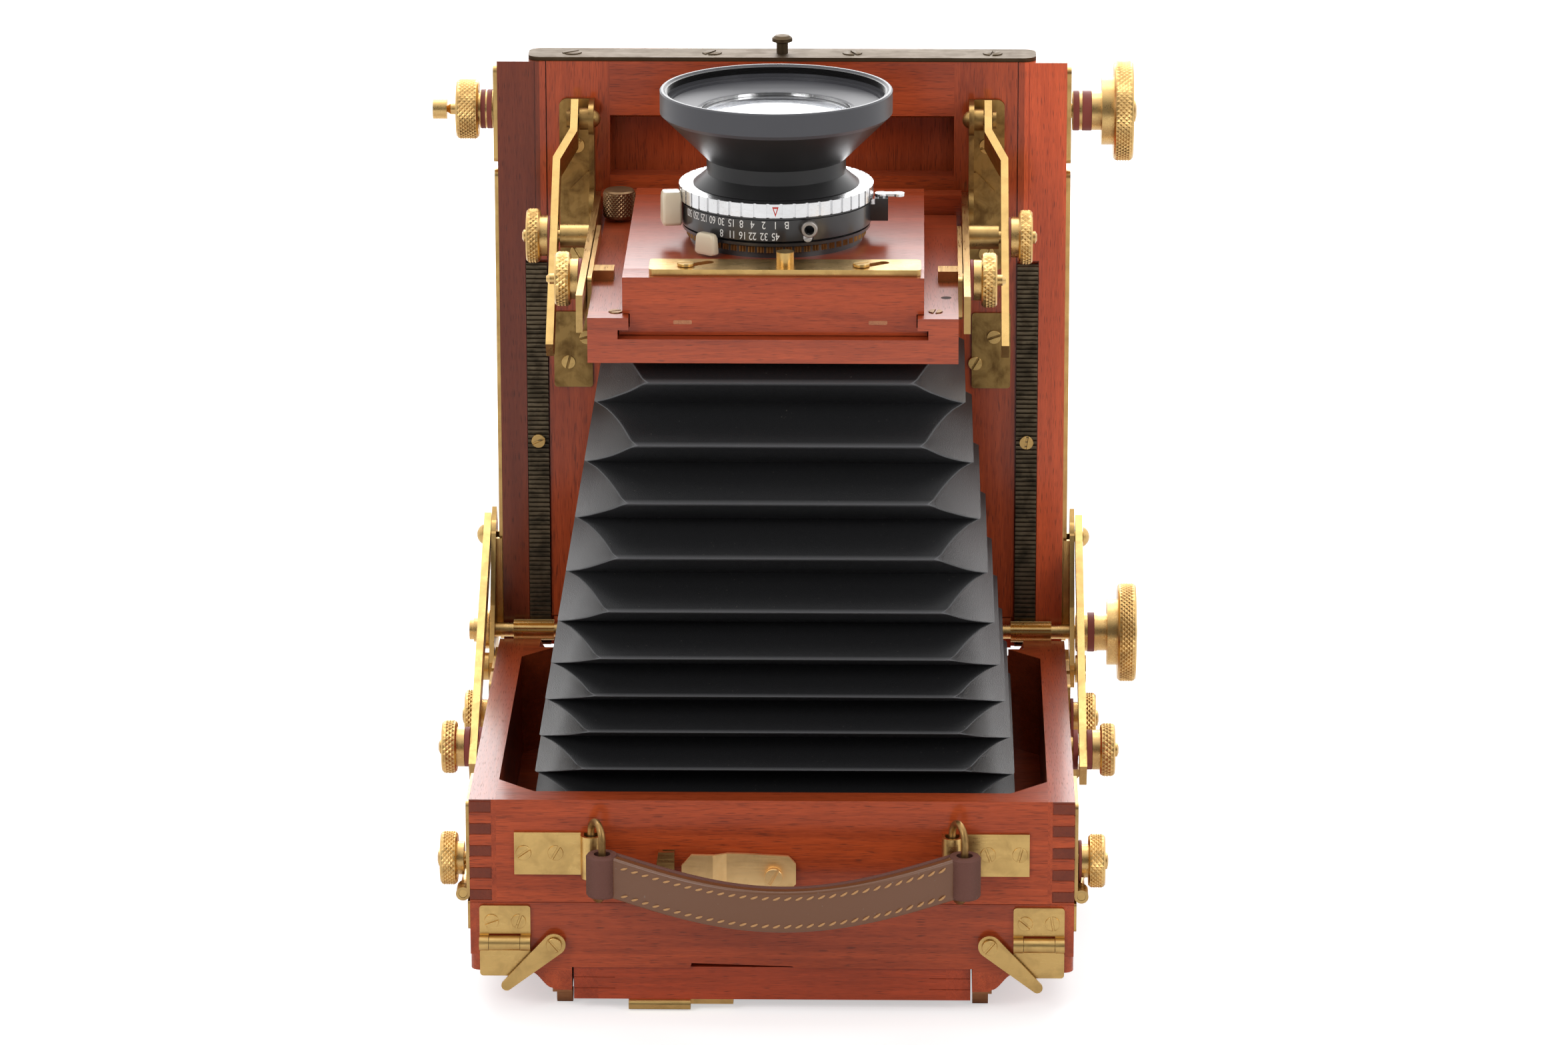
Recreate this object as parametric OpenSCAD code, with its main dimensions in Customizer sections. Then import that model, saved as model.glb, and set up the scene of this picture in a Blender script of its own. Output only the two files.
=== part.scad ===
// Folding wooden field camera for 4x5 inch film, lying on its back with the lens up.
// X is to the right, Y away from the handle towards the bed, Z up along the lens axis.
// The lens axis is X = 0, Y = 0 and the table is Z = 0.

/* [Case] */
// Width of the wooden case
case_w = 180; // [172:1:190]
// Lens axis to the near face, which carries the handle
case_near = 83; // [80:0.5:88]
// Lens axis to the far face, next to the bed
case_far = 78.3; // [76:0.1:80]
// Height of the case sides
case_h = 32.1; // [30:0.1:36]
// Thickness of the case boards
case_wall = 8; // [6:0.5:9]
// Length of the finger joints seen on a face
finger_len = 6.6; // [4:0.1:8]
// Height of one finger
finger_h = 3.6; // [2.5:0.1:4]
// Distance from finger to finger
finger_pitch = 6.9; // [6:0.1:8]
// Leg of the glue blocks inside the corners
block_leg = 11; // [6:1:14]

/* [Back] */
// Height of the feet under the back
clip_drop = 6.7; // [5:0.1:8]
// Height of the moulded side rails
rail_h = 6.2; // [5:0.1:8]
// Thickness of the back panel
panel_t = 5.1; // [4:0.1:7]
// Height of the frame between panel and case
rear_h = 16.5; // [14:0.1:18]
// Width of the film opening
gate_w = 120.6; // [110:0.1:122]
// Height of the film opening
gate_d = 95.8; // [88:0.1:98]
// Width of the ground glass frame
glass_frame_w = 118.6; // [116:0.1:119]
// Thickness of the ground glass frame
glass_frame_t = 10.3; // [8:0.1:11]
// Thickness of the ground glass
glass_t = 2; // [1.5:0.1:3]

/* [Bed] */
// Lens axis to the inner face of the bed
bed_face = 88.9; // [88.8:0.1:90]
// Thickness of the bed with its board
bed_t = 24.8; // [23:0.1:26]
// Width of the wooden bed
bed_w = 178.6; // [176:0.1:179]
// Lower end of the bed
bed_z0 = 61; // [58:0.5:64]
// Upper end of the bed
bed_z1 = 252.5; // [246:0.5:256]
// Thickness of the board behind the rails
board_t = 9.5; // [8:0.1:11]
// Half width of the channel between the bed rails
channel_x = 74.1; // [73:0.1:76]
// Half width of the clear window in the sliding frame
window_x = 54; // [50:0.5:55]
// Thickness of the sliding frame
slide_t = 7.5; // [6:0.1:8]
// Width of the top rail of the sliding frame
slide_rail = 17.2; // [14:0.1:20]
// Diameter of the threaded tripod bush
bush_bore = 9.5; // [6:0.5:10]

/* [Rack and pinion] */
// Distance from rack tooth to rack tooth
rack_pitch = 1.5; // [1.4:0.01:1.55]
// Teeth on each pinion
gear_teeth = 12; // [12:1:12]
// Depth of a tooth above the pitch line
addendum = 0.45; // [0.35:0.01:0.5]
// Depth of a tooth below the pitch line
dedendum = 0.55; // [0.5:0.01:0.6]
// Width of a rack
rack_w = 6.6; // [5:0.1:7]
// Diameter of the pinion shafts
shaft_d = 4.6; // [4:0.1:4.6]
// Height of the rear pinion shaft
rear_shaft_z = 67.5; // [67:0.1:70]
// Upper end of the bed down to the front pinion shaft
shaft_drop = 17.9; // [16:0.1:20]
// Diameter of the big focusing knobs
focus_knob_d = 30.8; // [24:0.2:32]

/* [Front standard] */
// Half width of the lens frame
lens_frame_x = 54.8; // [54:0.1:55.5]
// Underside of the lens frame
lens_frame_z = 193.3; // [192:0.1:196]
// Thickness of the lens frame
lens_frame_t = 13.7; // [12.5:0.1:14]
// Lens axis to the near end of the lens frame
lens_frame_near = 54.6; // [53:0.1:58]
// Lens axis to the far end of the lens frame
lens_frame_far = 74.5; // [72:0.1:75]
// Half width of the sliding lens carrier above its foot
carrier_x = 42.4; // [40:0.1:43]
// How far the foot of the carrier reaches under the lips
foot_reach = 3.2; // [2:0.1:4]
// Thickness of the foot
foot_t = 2.4; // [2:0.1:2.8]
// Thickness of the lens board
lens_board_t = 8; // [6:0.1:9]
// Thickness of the brass arms
arm_t = 2; // [1.5:0.1:2.2]
// Height of the brass arms
arm_h = 11.4; // [9:0.1:12]
// Thickness of the struts and braces
strut_t = 2.3; // [1.8:0.1:2.5]
// Height of the struts
strut_h = 9.3; // [8.6:0.1:10]
// Height of the braces beside the case
brace_h = 8.4; // [8:0.1:9.5]

/* [Lens] */
// Diameter of the front rim
rim_d = 70; // [64:0.5:74]
// Diameter of the shutter drum
drum_d = 57.4; // [54:0.1:58]
// Height of the shutter drum
drum_h = 6.4; // [5:0.1:7]
// Flutes round the speed ring
flutes = 46; // [30:1:50]
// Diameter of the front glass
glass_d = 45; // [40:0.5:46]
// Diameter of the rear cell
rear_cell_d = 39; // [34:0.5:40]

/* [Bellows and handle] */
// Folds of the bellows
folds = 10; // [8:1:12]
// Half width of the bellows at the case
bellows_rear_x = 74; // [70:0.5:76]
// Half width of the bellows at the lens frame
bellows_front_x = 51; // [48:0.5:52]
// Depth of one fold
fold_depth = 8; // [5:0.5:10]
// Thickness of the bellows cloth
cloth_t = 1.2; // [1:0.1:2]
// Width of the leather strap
strap_w = 13; // [10:0.5:15]
// Thickness of the leather strap
strap_t = 5.5; // [4:0.1:6.5]
// How far the strap bows out
strap_bow = 16; // [12:0.5:17]
// How far the strap sags
strap_sag = 5; // [2:0.5:7]

/* [Clearances] */
// Radial clearance of a shaft or screw in its hole
run = 0.06; // [0.03:0.01:0.1]
// Gap between pieces that slide past each other
slip = 0.3; // [0.2:0.05:0.4]
// Width and depth of a joint line in the wood
hairline = 0.25; // [0.15:0.05:0.4]

/* [Hidden] */

$fn = 64;

// Heights of the wooden stack
rail_z = clip_drop;
panel_z = rail_z + rail_h;
rear_z = panel_z + panel_t;
case_z = rear_z + rear_h;
case_top = case_z + case_h;
case_x = case_w / 2;
case_d = case_near + case_far;

// Ground glass frame, seated in the panel
seat_depth = 1;
glass_frame_z = panel_z + seat_depth - glass_frame_t;
rail_in = glass_frame_w / 2 + 0.5;
rail_flat = 5;
rail_out = rail_in + 12.2;
view_w = 96;
view_d = 84;
glass_rabbet = 2.2;

// Hinges between rear frame and case sides
barrel_d = 4.2;
barrel_pin_d = 2.4;
barrel_x = case_x + 0.1 + barrel_d / 2;
barrel_z = case_z + 1.7;
plate_t = 1;
plate_gap = 0.1;
plate_x = case_x + plate_gap;
swing_y = -69;
swing_z = case_z + 9;
far_y = 50;
far_z = case_z + 15.5;
swing_rise = 13.5;
screw_d = 4;
small_screw_d = 2.4;
slot_w = screw_d + 0.6;
wall_screw = 6;

near_plate = [swing_y - 12, swing_y + 17];
far_plate = [far_y - 14, far_y + 14];

// Corner clasps and turn levers on the near face
clasp_x0 = 72;
clasp_x1 = 87.2;
clasp_z = rear_z + 4.3;
clasp_d = 4.6;
clasp_y = -case_near - clasp_d / 2;
clasp_pin_d = 2;
knuckle = [75.1, 84.3];
lever_x = 64.9;
lever_z = rear_z + 4;
lever_y = -case_near - 2.9;

// Bed pivots, braces and their knobs
pivot_y = case_far - 0.3;
pivot_z = case_top - 9.2;
pivot_d = 4;
post_y = 18;
post_z = case_z + 15.5;
rivet_y = pivot_y + 20;
rivet_z = pivot_z + 38.1;
rivet_d = 3.4;
carriage_t = 1.5;
strip_t = 1.5;
strip_x = bed_w / 2 + strip_t;
carriage_x = max(strip_x, plate_x + plate_t) + 0.6;
brace_x = carriage_x + carriage_t + slip;
brace_angle = atan2(rivet_z - post_z, rivet_y - post_y);
brace_run = norm([rivet_y - post_y, rivet_z - post_z]);
brace_slide = 4.8;
guide_y = bed_face + 6.1;
strip_h = 6;
lip_y = 1.6;

// Racks and pinions
pitch_r = rack_pitch * gear_teeth / (2 * PI);
mesh_gap = 0.05;
gear_r = pitch_r + addendum;
rear_shaft_y = bed_face - gear_r - 0.285;
rear_gear_x0 = channel_x - 1.1;
rear_gear_w = 12.9;
rack_back = 2;
rear_rack_y = rear_shaft_y + pitch_r + mesh_gap;
slide_face = bed_face + slip;
slide_back = slide_face + slide_t;
rack_lift = 1;
front_rack_y = slide_back + rack_lift;
front_shaft_z = bed_z1 - shaft_drop;
front_shaft_y = front_rack_y + pitch_r + mesh_gap;
front_rack_x = 60;
slide_x = channel_x - slip;
tongue = 1.8;
tongue_y = bed_face + 3.2;
tongue_t = 3;
slide_z0 = bed_z0 + 10.2;
slide_z1 = bed_z1;
window_z1 = slide_z1 - slide_rail;
mid_rail_z0 = 184;
window_z0 = 216;
rear_rack_down = 6;
rear_rack_up = 121;
front_rack_down = 150;
front_rack_up = 15;
lock_disc_x = strip_x + 4.4;
bush_z = (bed_z0 + bed_z1) / 2 - 20;

// Front standard
axis_z = lens_frame_z + 13.5;
arm_x = lens_frame_x + 1.6;
arm_z = lens_frame_z + 7.7;
arm_near = 49;
arm_pivot_y = lens_frame_far + 7;
ear_x = arm_x + arm_t + 0.2;
ear_t = 1.6;
frame_plate_t = 1.3;
nut_half = 3.5;
crossbar_y = lens_frame_far + 1.5;
crossbar_d = 7;
strut_y = arm_pivot_y - 0.5;
strut_z = axis_z + 29.2;
upper_y = 47;
lower_y = -7;
strut_top_x = ear_x + ear_t + 3.2;
strut_step = 5;
strut_x = strut_top_x + strut_step;
strut_angle = atan2(strut_z - axis_z, strut_y - upper_y);
strut_run = norm([strut_y - upper_y, strut_z - axis_z]);
strut_slide = 4.8;
strut_tail = 44;

// Lens carrier and board
lip_t = 3.7;
frame_top = lens_frame_z + lens_frame_t;
foot_x = carrier_x + foot_reach;
foot_z = frame_top - lip_t - 0.2 - foot_t;
slot_floor = foot_z - 0.2;
carrier_top = frame_top + 3.2;
board_top = carrier_top + lens_board_t;
block_near = 50;
board_near = 39.3;
board_far = 54;
carrier_far = 63;
block_x = carrier_x + 2.2;
opening_x = 38;
opening_y = 47;
lock_slant = 35;
lock_t = 1.9;
lock_x = 3.4;
lock_half = 40.2;
lock_y = -41.5;
lock_d = 13;
lock_travel = 8;
lock_screw_x = 26;
rise_x = 50.2;
rise_y = 66;

// Shutter and lens, heights counted from the lens board
core_r = 26;
collar_z = board_top + 1.7;
index_z = collar_z + 2.1;
drum_z = index_z + 1.9;
drum_top = drum_z + drum_h;
cock_z = drum_top + 0.1;
speed_z = cock_z + 0.8;
speed_h = 4.2;
speed_top = speed_z + speed_h;
seat_r = 25.3;
drum_r = drum_d / 2;
ring_r = drum_r - 0.3;
bore_r = 17;
neck_r = 21;
neck_z = speed_top + 3.5;
cone_z = neck_z + 4.4;
rim_z = cone_z + 13.9;
lens_top = rim_z + 6.9;
tube_r = bore_r - 2;
glass_r = glass_d / 2;
glass_z = rim_z - 5;
release = [drum_r + 2.9, 1];

// Bellows and handle
bellows_near = [case_near - 16, lens_frame_near - 3.6];
bellows_far = [case_far - 12.3, lens_frame_far - 25.5];
bellows_z0 = case_z + 0.05;
bellows_z1 = lens_frame_z - 0.05;
bracket_z = case_z + 15.6;
bracket_h = 13.2;
ring_wire = 2.2;
ring_x = 53.6;
ring_y = -(case_near + 3.2);
ring_reach = 9;
ring_half = 13;
ring_turn = 24;
strap_z = bracket_z - 2.9;
strap_x0 = -ring_x + ring_reach * sin(ring_turn);
strap_x1 = ring_x + ring_reach * sin(ring_turn);
strap_y = ring_y - ring_reach * cos(ring_turn);
strap_loop_r = 4.8;
strap_eye_r = 2.4;
latch_pivot = [0.6, case_z + 9.5];
latch_y = -case_near - 0.9;

// One child on each side of the camera
module both_sides() {
    children();
    mirror([1, 0, 0]) children();
}

// Round bar along X between x0 and x1
module rod_x(x0, x1, y, z, d) {
    translate([x0, y, z]) rotate([0, 90, 0]) cylinder(h = x1 - x0, d = d);
}

// Flat shape drawn as Y and Z, from x0 outwards
module plate_yz(x0, t) {
    translate([x0, 0, 0]) rotate([90, 0, 90]) linear_extrude(t) children();
}

// Flat shape drawn as X and Z, from y0 away from the viewer
module plate_xz(y0, t) {
    translate([0, y0 + t, 0]) rotate([90, 0, 0]) linear_extrude(t) children();
}

// Box between two corners
module block(a, b) {
    translate(a) cube(b - a);
}

// Rectangle with rounded corners
module round_rect(x0, y0, x1, y1, r) {
    translate([x0 + r, y0]) square([x1 - x0 - 2 * r, y1 - y0]);
    translate([x0, y0 + r]) square([x1 - x0, y1 - y0 - 2 * r]);
    for (x = [x0 + r, x1 - r], y = [y0 + r, y1 - r]) translate([x, y]) circle(r);
}

// Slot with round ends, centred, along X
module slot(len, w) {
    square([len, w], center = true);
    for (x = [-len / 2, len / 2]) translate([x, 0]) circle(d = w);
}

// Turned thumb screw along +X from x0: screw, hub, disc and tip
module thumb_screw(x0, y, z, depth, hub_d, hub_t, disc_d, disc_t, tip_d, tip_t) {
    edge = 0.5;
    translate([x0, y, z]) rotate([0, 90, 0]) rotate_extrude()
        polygon([
            [0, -depth], [screw_d / 2, -depth], [screw_d / 2, 0], [hub_d / 2, 0],
            [hub_d / 2, hub_t], [disc_d / 2 - edge, hub_t], [disc_d / 2, hub_t + edge],
            [disc_d / 2, hub_t + disc_t - edge], [disc_d / 2 - edge, hub_t + disc_t],
            [tip_d / 2, hub_t + disc_t], [tip_d / 2, hub_t + disc_t + tip_t * 0.6],
            [tip_d / 4, hub_t + disc_t + tip_t], [0, hub_t + disc_t + tip_t]]);
}

// Gear outline with straight-sided teeth, one of them at angle 0
module gear_outline() {
    step = 360 / gear_teeth;
    root_r = pitch_r - dedendum;
    polygon([for (i = [0:gear_teeth - 1], p = [
        [root_r, -0.28], [gear_r, -0.11], [gear_r, 0.11], [root_r, 0.28]])
        p[0] * [cos((i + p[1]) * step), sin((i + p[1]) * step)]]);
}

// Rack outline drawn as depth and length: teeth point to -depth, a gap at length 0
module rack_outline(below, above, back) {
    teeth_b = floor(below / rack_pitch);
    teeth_a = floor(above / rack_pitch);
    z0 = -teeth_b * rack_pitch;
    z1 = teeth_a * rack_pitch;
    polygon(concat(
        [[dedendum + back, z0], [dedendum, z0]],
        [for (k = [-teeth_b:teeth_a - 1], p = [
            [dedendum, 0.23], [-addendum, 0.38], [-addendum, 0.62], [dedendum, 0.77]])
            [p[0], (k + p[1]) * rack_pitch]],
        [[dedendum, z1], [dedendum + back, z1]]));
}

// Joint lines of the fingers on the face y = 0, corner at x = 0 and wood towards +x
module finger_lines(up) {
    n = floor((case_h - finger_h) / finger_pitch);
    shift = up ? 0 : (finger_pitch - finger_h);
    for (k = [0:n]) {
        z1 = case_h - 0.5 - k * finger_pitch - (up ? 0 : finger_h);
        z0 = max(z1 - (up ? finger_h : finger_pitch - finger_h), 0.5);
        if (z1 > z0 + 1) difference() {
            block([-1, -1, z0], [finger_len, hairline, z1]);
            block([-2, -2, z0 + hairline], [finger_len - hairline, 1, z1 - hairline]);
        }
    }
}

// Outline shared by the case and the rear frame
module case_outline() {
    translate([-case_x, -case_near]) square([case_w, case_d]);
}

// Wooden case: four finger-jointed boards with glue blocks in the corners
module case() {
    far_drop = 2.6;
    in_x = case_x - case_wall;
    in_y0 = -case_near + case_wall;
    in_y1 = case_far - case_wall;
    color("saddlebrown") difference() {
        translate([0, 0, case_z]) linear_extrude(case_h) difference() {
            case_outline();
            difference() {
                translate([-in_x, in_y0]) square([2 * in_x, in_y1 - in_y0]);
                for (s = [-1, 1]) {
                    polygon([[s * in_x, in_y0], [s * (in_x - block_leg), in_y0],
                             [s * in_x, in_y0 + block_leg]]);
                    polygon([[s * in_x, in_y1], [s * (in_x - block_leg), in_y1],
                             [s * in_x, in_y1 - block_leg]]);
                }
            }
        }
        block([-in_x + block_leg, in_y1 - 1, case_top - far_drop],
              [in_x - block_leg, case_far + 1, case_top + 1]);
        both_sides() translate([in_x - block_leg, 0, case_top + 1])
            rotate([-90, 0, 0]) translate([0, 0, in_y1 - 1])
            cylinder(h = case_wall + 2, r = 6);
        for (s = [0, 1]) mirror([s, 0, 0]) {
            translate([-case_x, -case_near, case_z]) finger_lines(true);
            translate([-case_x, case_far, case_z]) mirror([0, 1, 0]) finger_lines(true);
            translate([-case_x, -case_near, case_z]) rotate([0, 0, 90])
                mirror([0, 1, 0]) finger_lines(false);
            translate([-case_x, case_far, case_z]) rotate([0, 0, -90]) finger_lines(false);
        }
        both_sides() {
            rod_x(case_x - wall_screw, case_x + 1, swing_y, swing_z, screw_d + 2 * run);
            rod_x(case_x - wall_screw, case_x + 1, far_y, far_z, screw_d + 2 * run);
            rod_x(case_x - wall_screw, case_x + 1, post_y, post_z, screw_d + 2 * run);
            rod_x(case_x - wall_screw, case_x + 1, pivot_y - 6, pivot_z, pivot_d);
        }
        translate([latch_pivot[0], -case_near, latch_pivot[1]]) rotate([90, 0, 0])
            cylinder(h = 12, d = small_screw_d + 2 * run, center = true);
    }
}

// Brass pieces fixed to the case: handle brackets, latch keeper, brace spacers, bed pivots
module handle_bracket() {
    x1 = 76.6;
    loop_in = ring_wire / 2 + 1;
    loop_out = loop_in + plate_t;
    z0 = bracket_z - bracket_h / 2;
    difference() {
        translate([0, 0, z0]) linear_extrude(bracket_h) difference() {
            union() {
                translate([ring_x, -case_near - plate_t]) square([x1 - ring_x, plate_t]);
                translate([ring_x, ring_y]) circle(loop_out);
                translate([ring_x - loop_out, ring_y]) square([2 * loop_out, -case_near - ring_y]);
            }
            translate([ring_x, ring_y]) circle(loop_in);
            translate([ring_x - loop_in, ring_y])
                square([2 * loop_in, -case_near - ring_y - plate_t]);
        }
        for (x = [x1 - 2.8, x1 - 12.3]) translate([x, -case_near, bracket_z])
            rotate([90, 0, 0]) cylinder(h = 3, d = 3, center = true);
    }
}

module latch_keeper() {
    z = case_z + 9.1;
    difference() {
        plate_xz(-case_near - 3, 3)
            polygon([[-34.2, z], [-28.9, z], [-28.9, z + 7.7], [-33.6, z + 7.7], [-34.2, z + 4]]);
        block([-32.4, -case_near - 1.8, z - 1], [-28, -case_near - 0.6, z + 9]);
    }
}

module bed_pivot() {
    head_x = carriage_x + carriage_t + slip;
    pad_z = 6;
    difference() {
        union() {
            plate_yz(case_x, carriage_x - case_x - slip)
                round_rect(pivot_y - 12, pivot_z - pad_z, pivot_y + 5, pivot_z + pad_z, 4);
            rod_x(case_x - wall_screw, case_x + 1, pivot_y - 6, pivot_z, pivot_d);
            rod_x(case_x, head_x + 1, pivot_y, pivot_z, pivot_d);
            rod_x(head_x, head_x + 3.4, pivot_y, pivot_z, 8.8);
        }
        block([head_x + 2.6, pivot_y - 6, pivot_z - 0.5], [head_x + 4, pivot_y + 6, pivot_z + 0.5]);
    }
}

module case_fittings() {
    color("goldenrod") {
        both_sides() {
            handle_bracket();
            bed_pivot();
            difference() {
                rod_x(case_x, brace_x - slip, post_y, post_z, 8);
                rod_x(case_x - 1, brace_x + 1, post_y, post_z, screw_d + 2 * run);
            }
        }
        latch_keeper();
    }
}

// Slotted brass plates on the case sides, with their half of the barrel hinges
module side_plate(y0, y1, slot_y, slot_z) {
    top = case_top - 1.6;
    difference() {
        union() {
            plate_yz(plate_x, plate_t) round_rect(y0, barrel_z + barrel_d / 2 + 0.3, y1, top, 1.5);
            for (y = [y0, y1 - 4]) {
                block([plate_x, y, barrel_z], [plate_x + plate_t, y + 3, barrel_z + 4]);
                translate([barrel_x, y, barrel_z]) rotate([-90, 0, 0]) cylinder(h = 3, d = barrel_d);
            }
        }
        plate_yz(plate_x - 1, plate_t + 2) translate([slot_y, slot_z + swing_rise / 2])
            rotate(90) slot(swing_rise, slot_w);
        translate([barrel_x, y0 - 1, barrel_z]) rotate([-90, 0, 0])
            cylinder(h = y1 - y0 + 2, d = barrel_pin_d + 2 * run);
    }
}

module side_plates() {
    side_plate(near_plate[0], near_plate[1], swing_y, swing_z);
    side_plate(far_plate[0], far_plate[1], far_y, far_z);
}

module side_plates_right() {
    color("goldenrod") side_plates();
}

module side_plates_left() {
    color("goldenrod") mirror([1, 0, 0]) side_plates();
}

// Lower leaves and pins of the barrel hinges, screwed to the rear frame
module hinge_leaf(y0, y1) {
    leaf_t = 0.8;
    plate_yz(case_x, leaf_t) round_rect(y0, case_z - 9.5, y1, case_z - 0.4, 1);
    for (y = [y0 + 3.5, y1 - 7.5]) {
        block([case_x + plate_gap / 2, y, case_z - 3], [case_x + leaf_t, y + 3, barrel_z]);
        translate([barrel_x, y, barrel_z]) rotate([-90, 0, 0]) cylinder(h = 3, d = barrel_d);
    }
    translate([barrel_x, y0 + 0.2, barrel_z]) rotate([-90, 0, 0])
        cylinder(h = y1 - y0 - 1.4, d = barrel_pin_d);
}

// Knobs that clamp the side plates to the case
module side_knob(y, z) {
    thumb_screw(plate_x + plate_t + 1.3, y, z, wall_screw + 1.9, 10, 2, 15.5, 5, 5, 1);
}

module swing_knob_right() {
    color("gold") side_knob(swing_y, swing_z);
}

module swing_knob_left() {
    color("gold") mirror([1, 0, 0]) side_knob(swing_y, swing_z);
}

module far_knob_right() {
    color("gold") side_knob(far_y, far_z);
}

module far_knob_left() {
    color("gold") mirror([1, 0, 0]) side_knob(far_y, far_z);
}

// Wooden frame between case and back panel
module rear_frame() {
    color("saddlebrown") difference() {
        translate([0, 0, rear_z]) linear_extrude(rear_h) difference() {
            case_outline();
            translate([-gate_w / 2 - 4, -gate_d / 2 - 8]) square([gate_w + 8, gate_d + 16]);
        }
        block([-case_x - 1, -case_near - 1, case_z - hairline],
              [case_x + 1, -case_near + hairline, case_z + 1]);
        for (x = [-lever_x, lever_x]) translate([x, -case_near, lever_z])
            rotate([90, 0, 0]) cylinder(h = 10, d = small_screw_d + 2 * run, center = true);
    }
}

// Back panel with the film opening and a seat for the ground glass frame
module back_panel() {
    notch = [-24, 10];
    color("saddlebrown") difference() {
        translate([0, 0, panel_z]) linear_extrude(panel_t) difference() {
            round_rect(-case_x, -case_near, case_x, case_far, 3);
            translate([-gate_w / 2, -gate_d / 2]) square([gate_w, gate_d]);
        }
        block([-rail_in, -case_near - 1, panel_z - 1], [rail_in, case_far + 1, panel_z + seat_depth]);
        plate_xz(-case_near - 1, 7) polygon([
            [notch[0] - 1, panel_z - 1], [notch[0], panel_z + 2.5], [notch[1] - 4, panel_z + 1.6],
            [notch[1], panel_z - 1]]);
    }
}

// Moulded rails each side of the ground glass frame
module side_rails() {
    steps = 8;
    color("sienna") both_sides() translate([0, case_far, 0]) rotate([90, 0, 0])
        linear_extrude(case_d) polygon(concat(
            [[rail_in, panel_z], [rail_in, rail_z], [rail_in + rail_flat, rail_z]],
            [for (i = [0:steps]) let (t = i / steps)
                [rail_in + rail_flat + 0.8 + (rail_out - rail_in - rail_flat - 0.8) * t,
                 rail_z + 0.6 + (rail_h - 1.2) * (0.5 - 0.5 * cos(180 * t))]],
            [[rail_out, panel_z]]));
}

// Bent bronze spring clips that hold the ground glass frame and stand on the table
module back_clip() {
    clip_w = 4.7;
    wire = 1.6;
    bend = rail_z / 2 - wire / 2;
    mid = rail_in + rail_flat / 2;
    translate([mid - clip_w / 2, 0, 0]) {
        translate([0, 0, bend + wire / 2]) rotate([90, 0, 90]) linear_extrude(clip_w) {
            difference() {
                circle(bend + wire / 2);
                circle(bend - wire / 2);
                translate([0, 0]) square([9, 9]);
            }
            translate([-wire / 2 - bend, 0]) square([wire, rail_z - bend - wire / 2]);
            translate([0, bend - wire / 2]) square([0.4, wire]);
        }
    }
    block([rail_in + 0.1, -bend - wire / 2 - 4, rail_z - 1.2], [mid + 3.4, -bend + wire / 2, rail_z]);
}

module back_clips() {
    near = -case_near + 9;
    far = case_far - 9;
    color("darkgoldenrod") both_sides() {
        translate([0, near, 0]) back_clip();
        translate([0, far, 0]) mirror([0, 1, 0]) back_clip();
    }
}

// Ground glass frame that springs away from the panel for the film holder
module glass_frame() {
    x = glass_frame_w / 2;
    y0 = -case_near + 1;
    y1 = case_far - 1;
    h = glass_frame_t;
    color("saddlebrown") difference() {
        block([-x, y0, glass_frame_z], [x, y1, glass_frame_z + h]);
        block([-view_w / 2, -view_d / 2, glass_frame_z - 1],
              [view_w / 2, view_d / 2, glass_frame_z + h + 1]);
        block([-view_w / 2 - glass_rabbet, -view_d / 2 - glass_rabbet, glass_frame_z + h - glass_t],
              [view_w / 2 + glass_rabbet, view_d / 2 + glass_rabbet, glass_frame_z + h + 1]);
        for (s = [0, 1]) mirror([s, 0, 0])
            for (z = [h / 3, h * 2 / 3]) {
                block([-x - 1, y0 - 1, glass_frame_z + z - hairline / 2],
                      [-view_w / 2 + 1, y0 + hairline, glass_frame_z + z + hairline / 2]);
            }
    }
}

module ground_glass() {
    fit = 0.1;
    top = glass_frame_z + glass_frame_t;
    color("gainsboro") block(
        [-view_w / 2 - glass_rabbet + fit, -view_d / 2 - glass_rabbet + fit, top - glass_t],
        [view_w / 2 + glass_rabbet - fit, view_d / 2 + glass_rabbet - fit, top - 0.05]);
}

// Metal tab under the near end of the ground glass frame
module pull_tab() {
    t = 1.5;
    y0 = -case_near - 2;
    y1 = -case_near + 16;
    z1 = glass_frame_z;
    color("goldenrod") {
        block([-42.9, y0 + 3, z1 - t], [-11.6, y1, z1]);
        translate([-42.9, 0, 0]) rotate([90, 0, 90]) linear_extrude(18.5) {
            translate([y0 + 3, z1 - 1.6]) circle(1.6);
            translate([y0 + 3, z1 - t]) square([4, t]);
        }
    }
}

// Corner clasps: leaf on the rear frame, knuckles on an X axis, swinging lower leaf
module clasp_base() {
    difference() {
        union() {
            plate_xz(-case_near - plate_t, plate_t)
                round_rect(clasp_x0, clasp_z + 1, clasp_x1, case_z - 0.9, 1);
            rod_x(clasp_x0, knuckle[0] - 0.15, clasp_y, clasp_z, clasp_d);
            rod_x(knuckle[1] + 0.15, clasp_x1, clasp_y, clasp_z, clasp_d);
        }
        block([knuckle[0] - 0.15, clasp_y - 4, clasp_z - 4],
              [knuckle[1] + 0.15, -case_near + 1, clasp_z + clasp_d / 2 + 0.2]);
        for (x = [75.5, 83.6]) translate([x, -case_near, case_z - 5.8])
            rotate([90, 0, 0]) cylinder(h = 3, d = 2.6, center = true);
    }
    rod_x(clasp_x0 + 0.5, clasp_x1 - 0.5, clasp_y, clasp_z, clasp_pin_d);
}

// Brass pieces fixed to the rear frame: hinge leaves and clasp bases
module rear_fittings() {
    color("goldenrod") both_sides() {
        hinge_leaf(near_plate[0], near_plate[1]);
        hinge_leaf(far_plate[0], far_plate[1]);
        clasp_base();
    }
}

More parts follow.
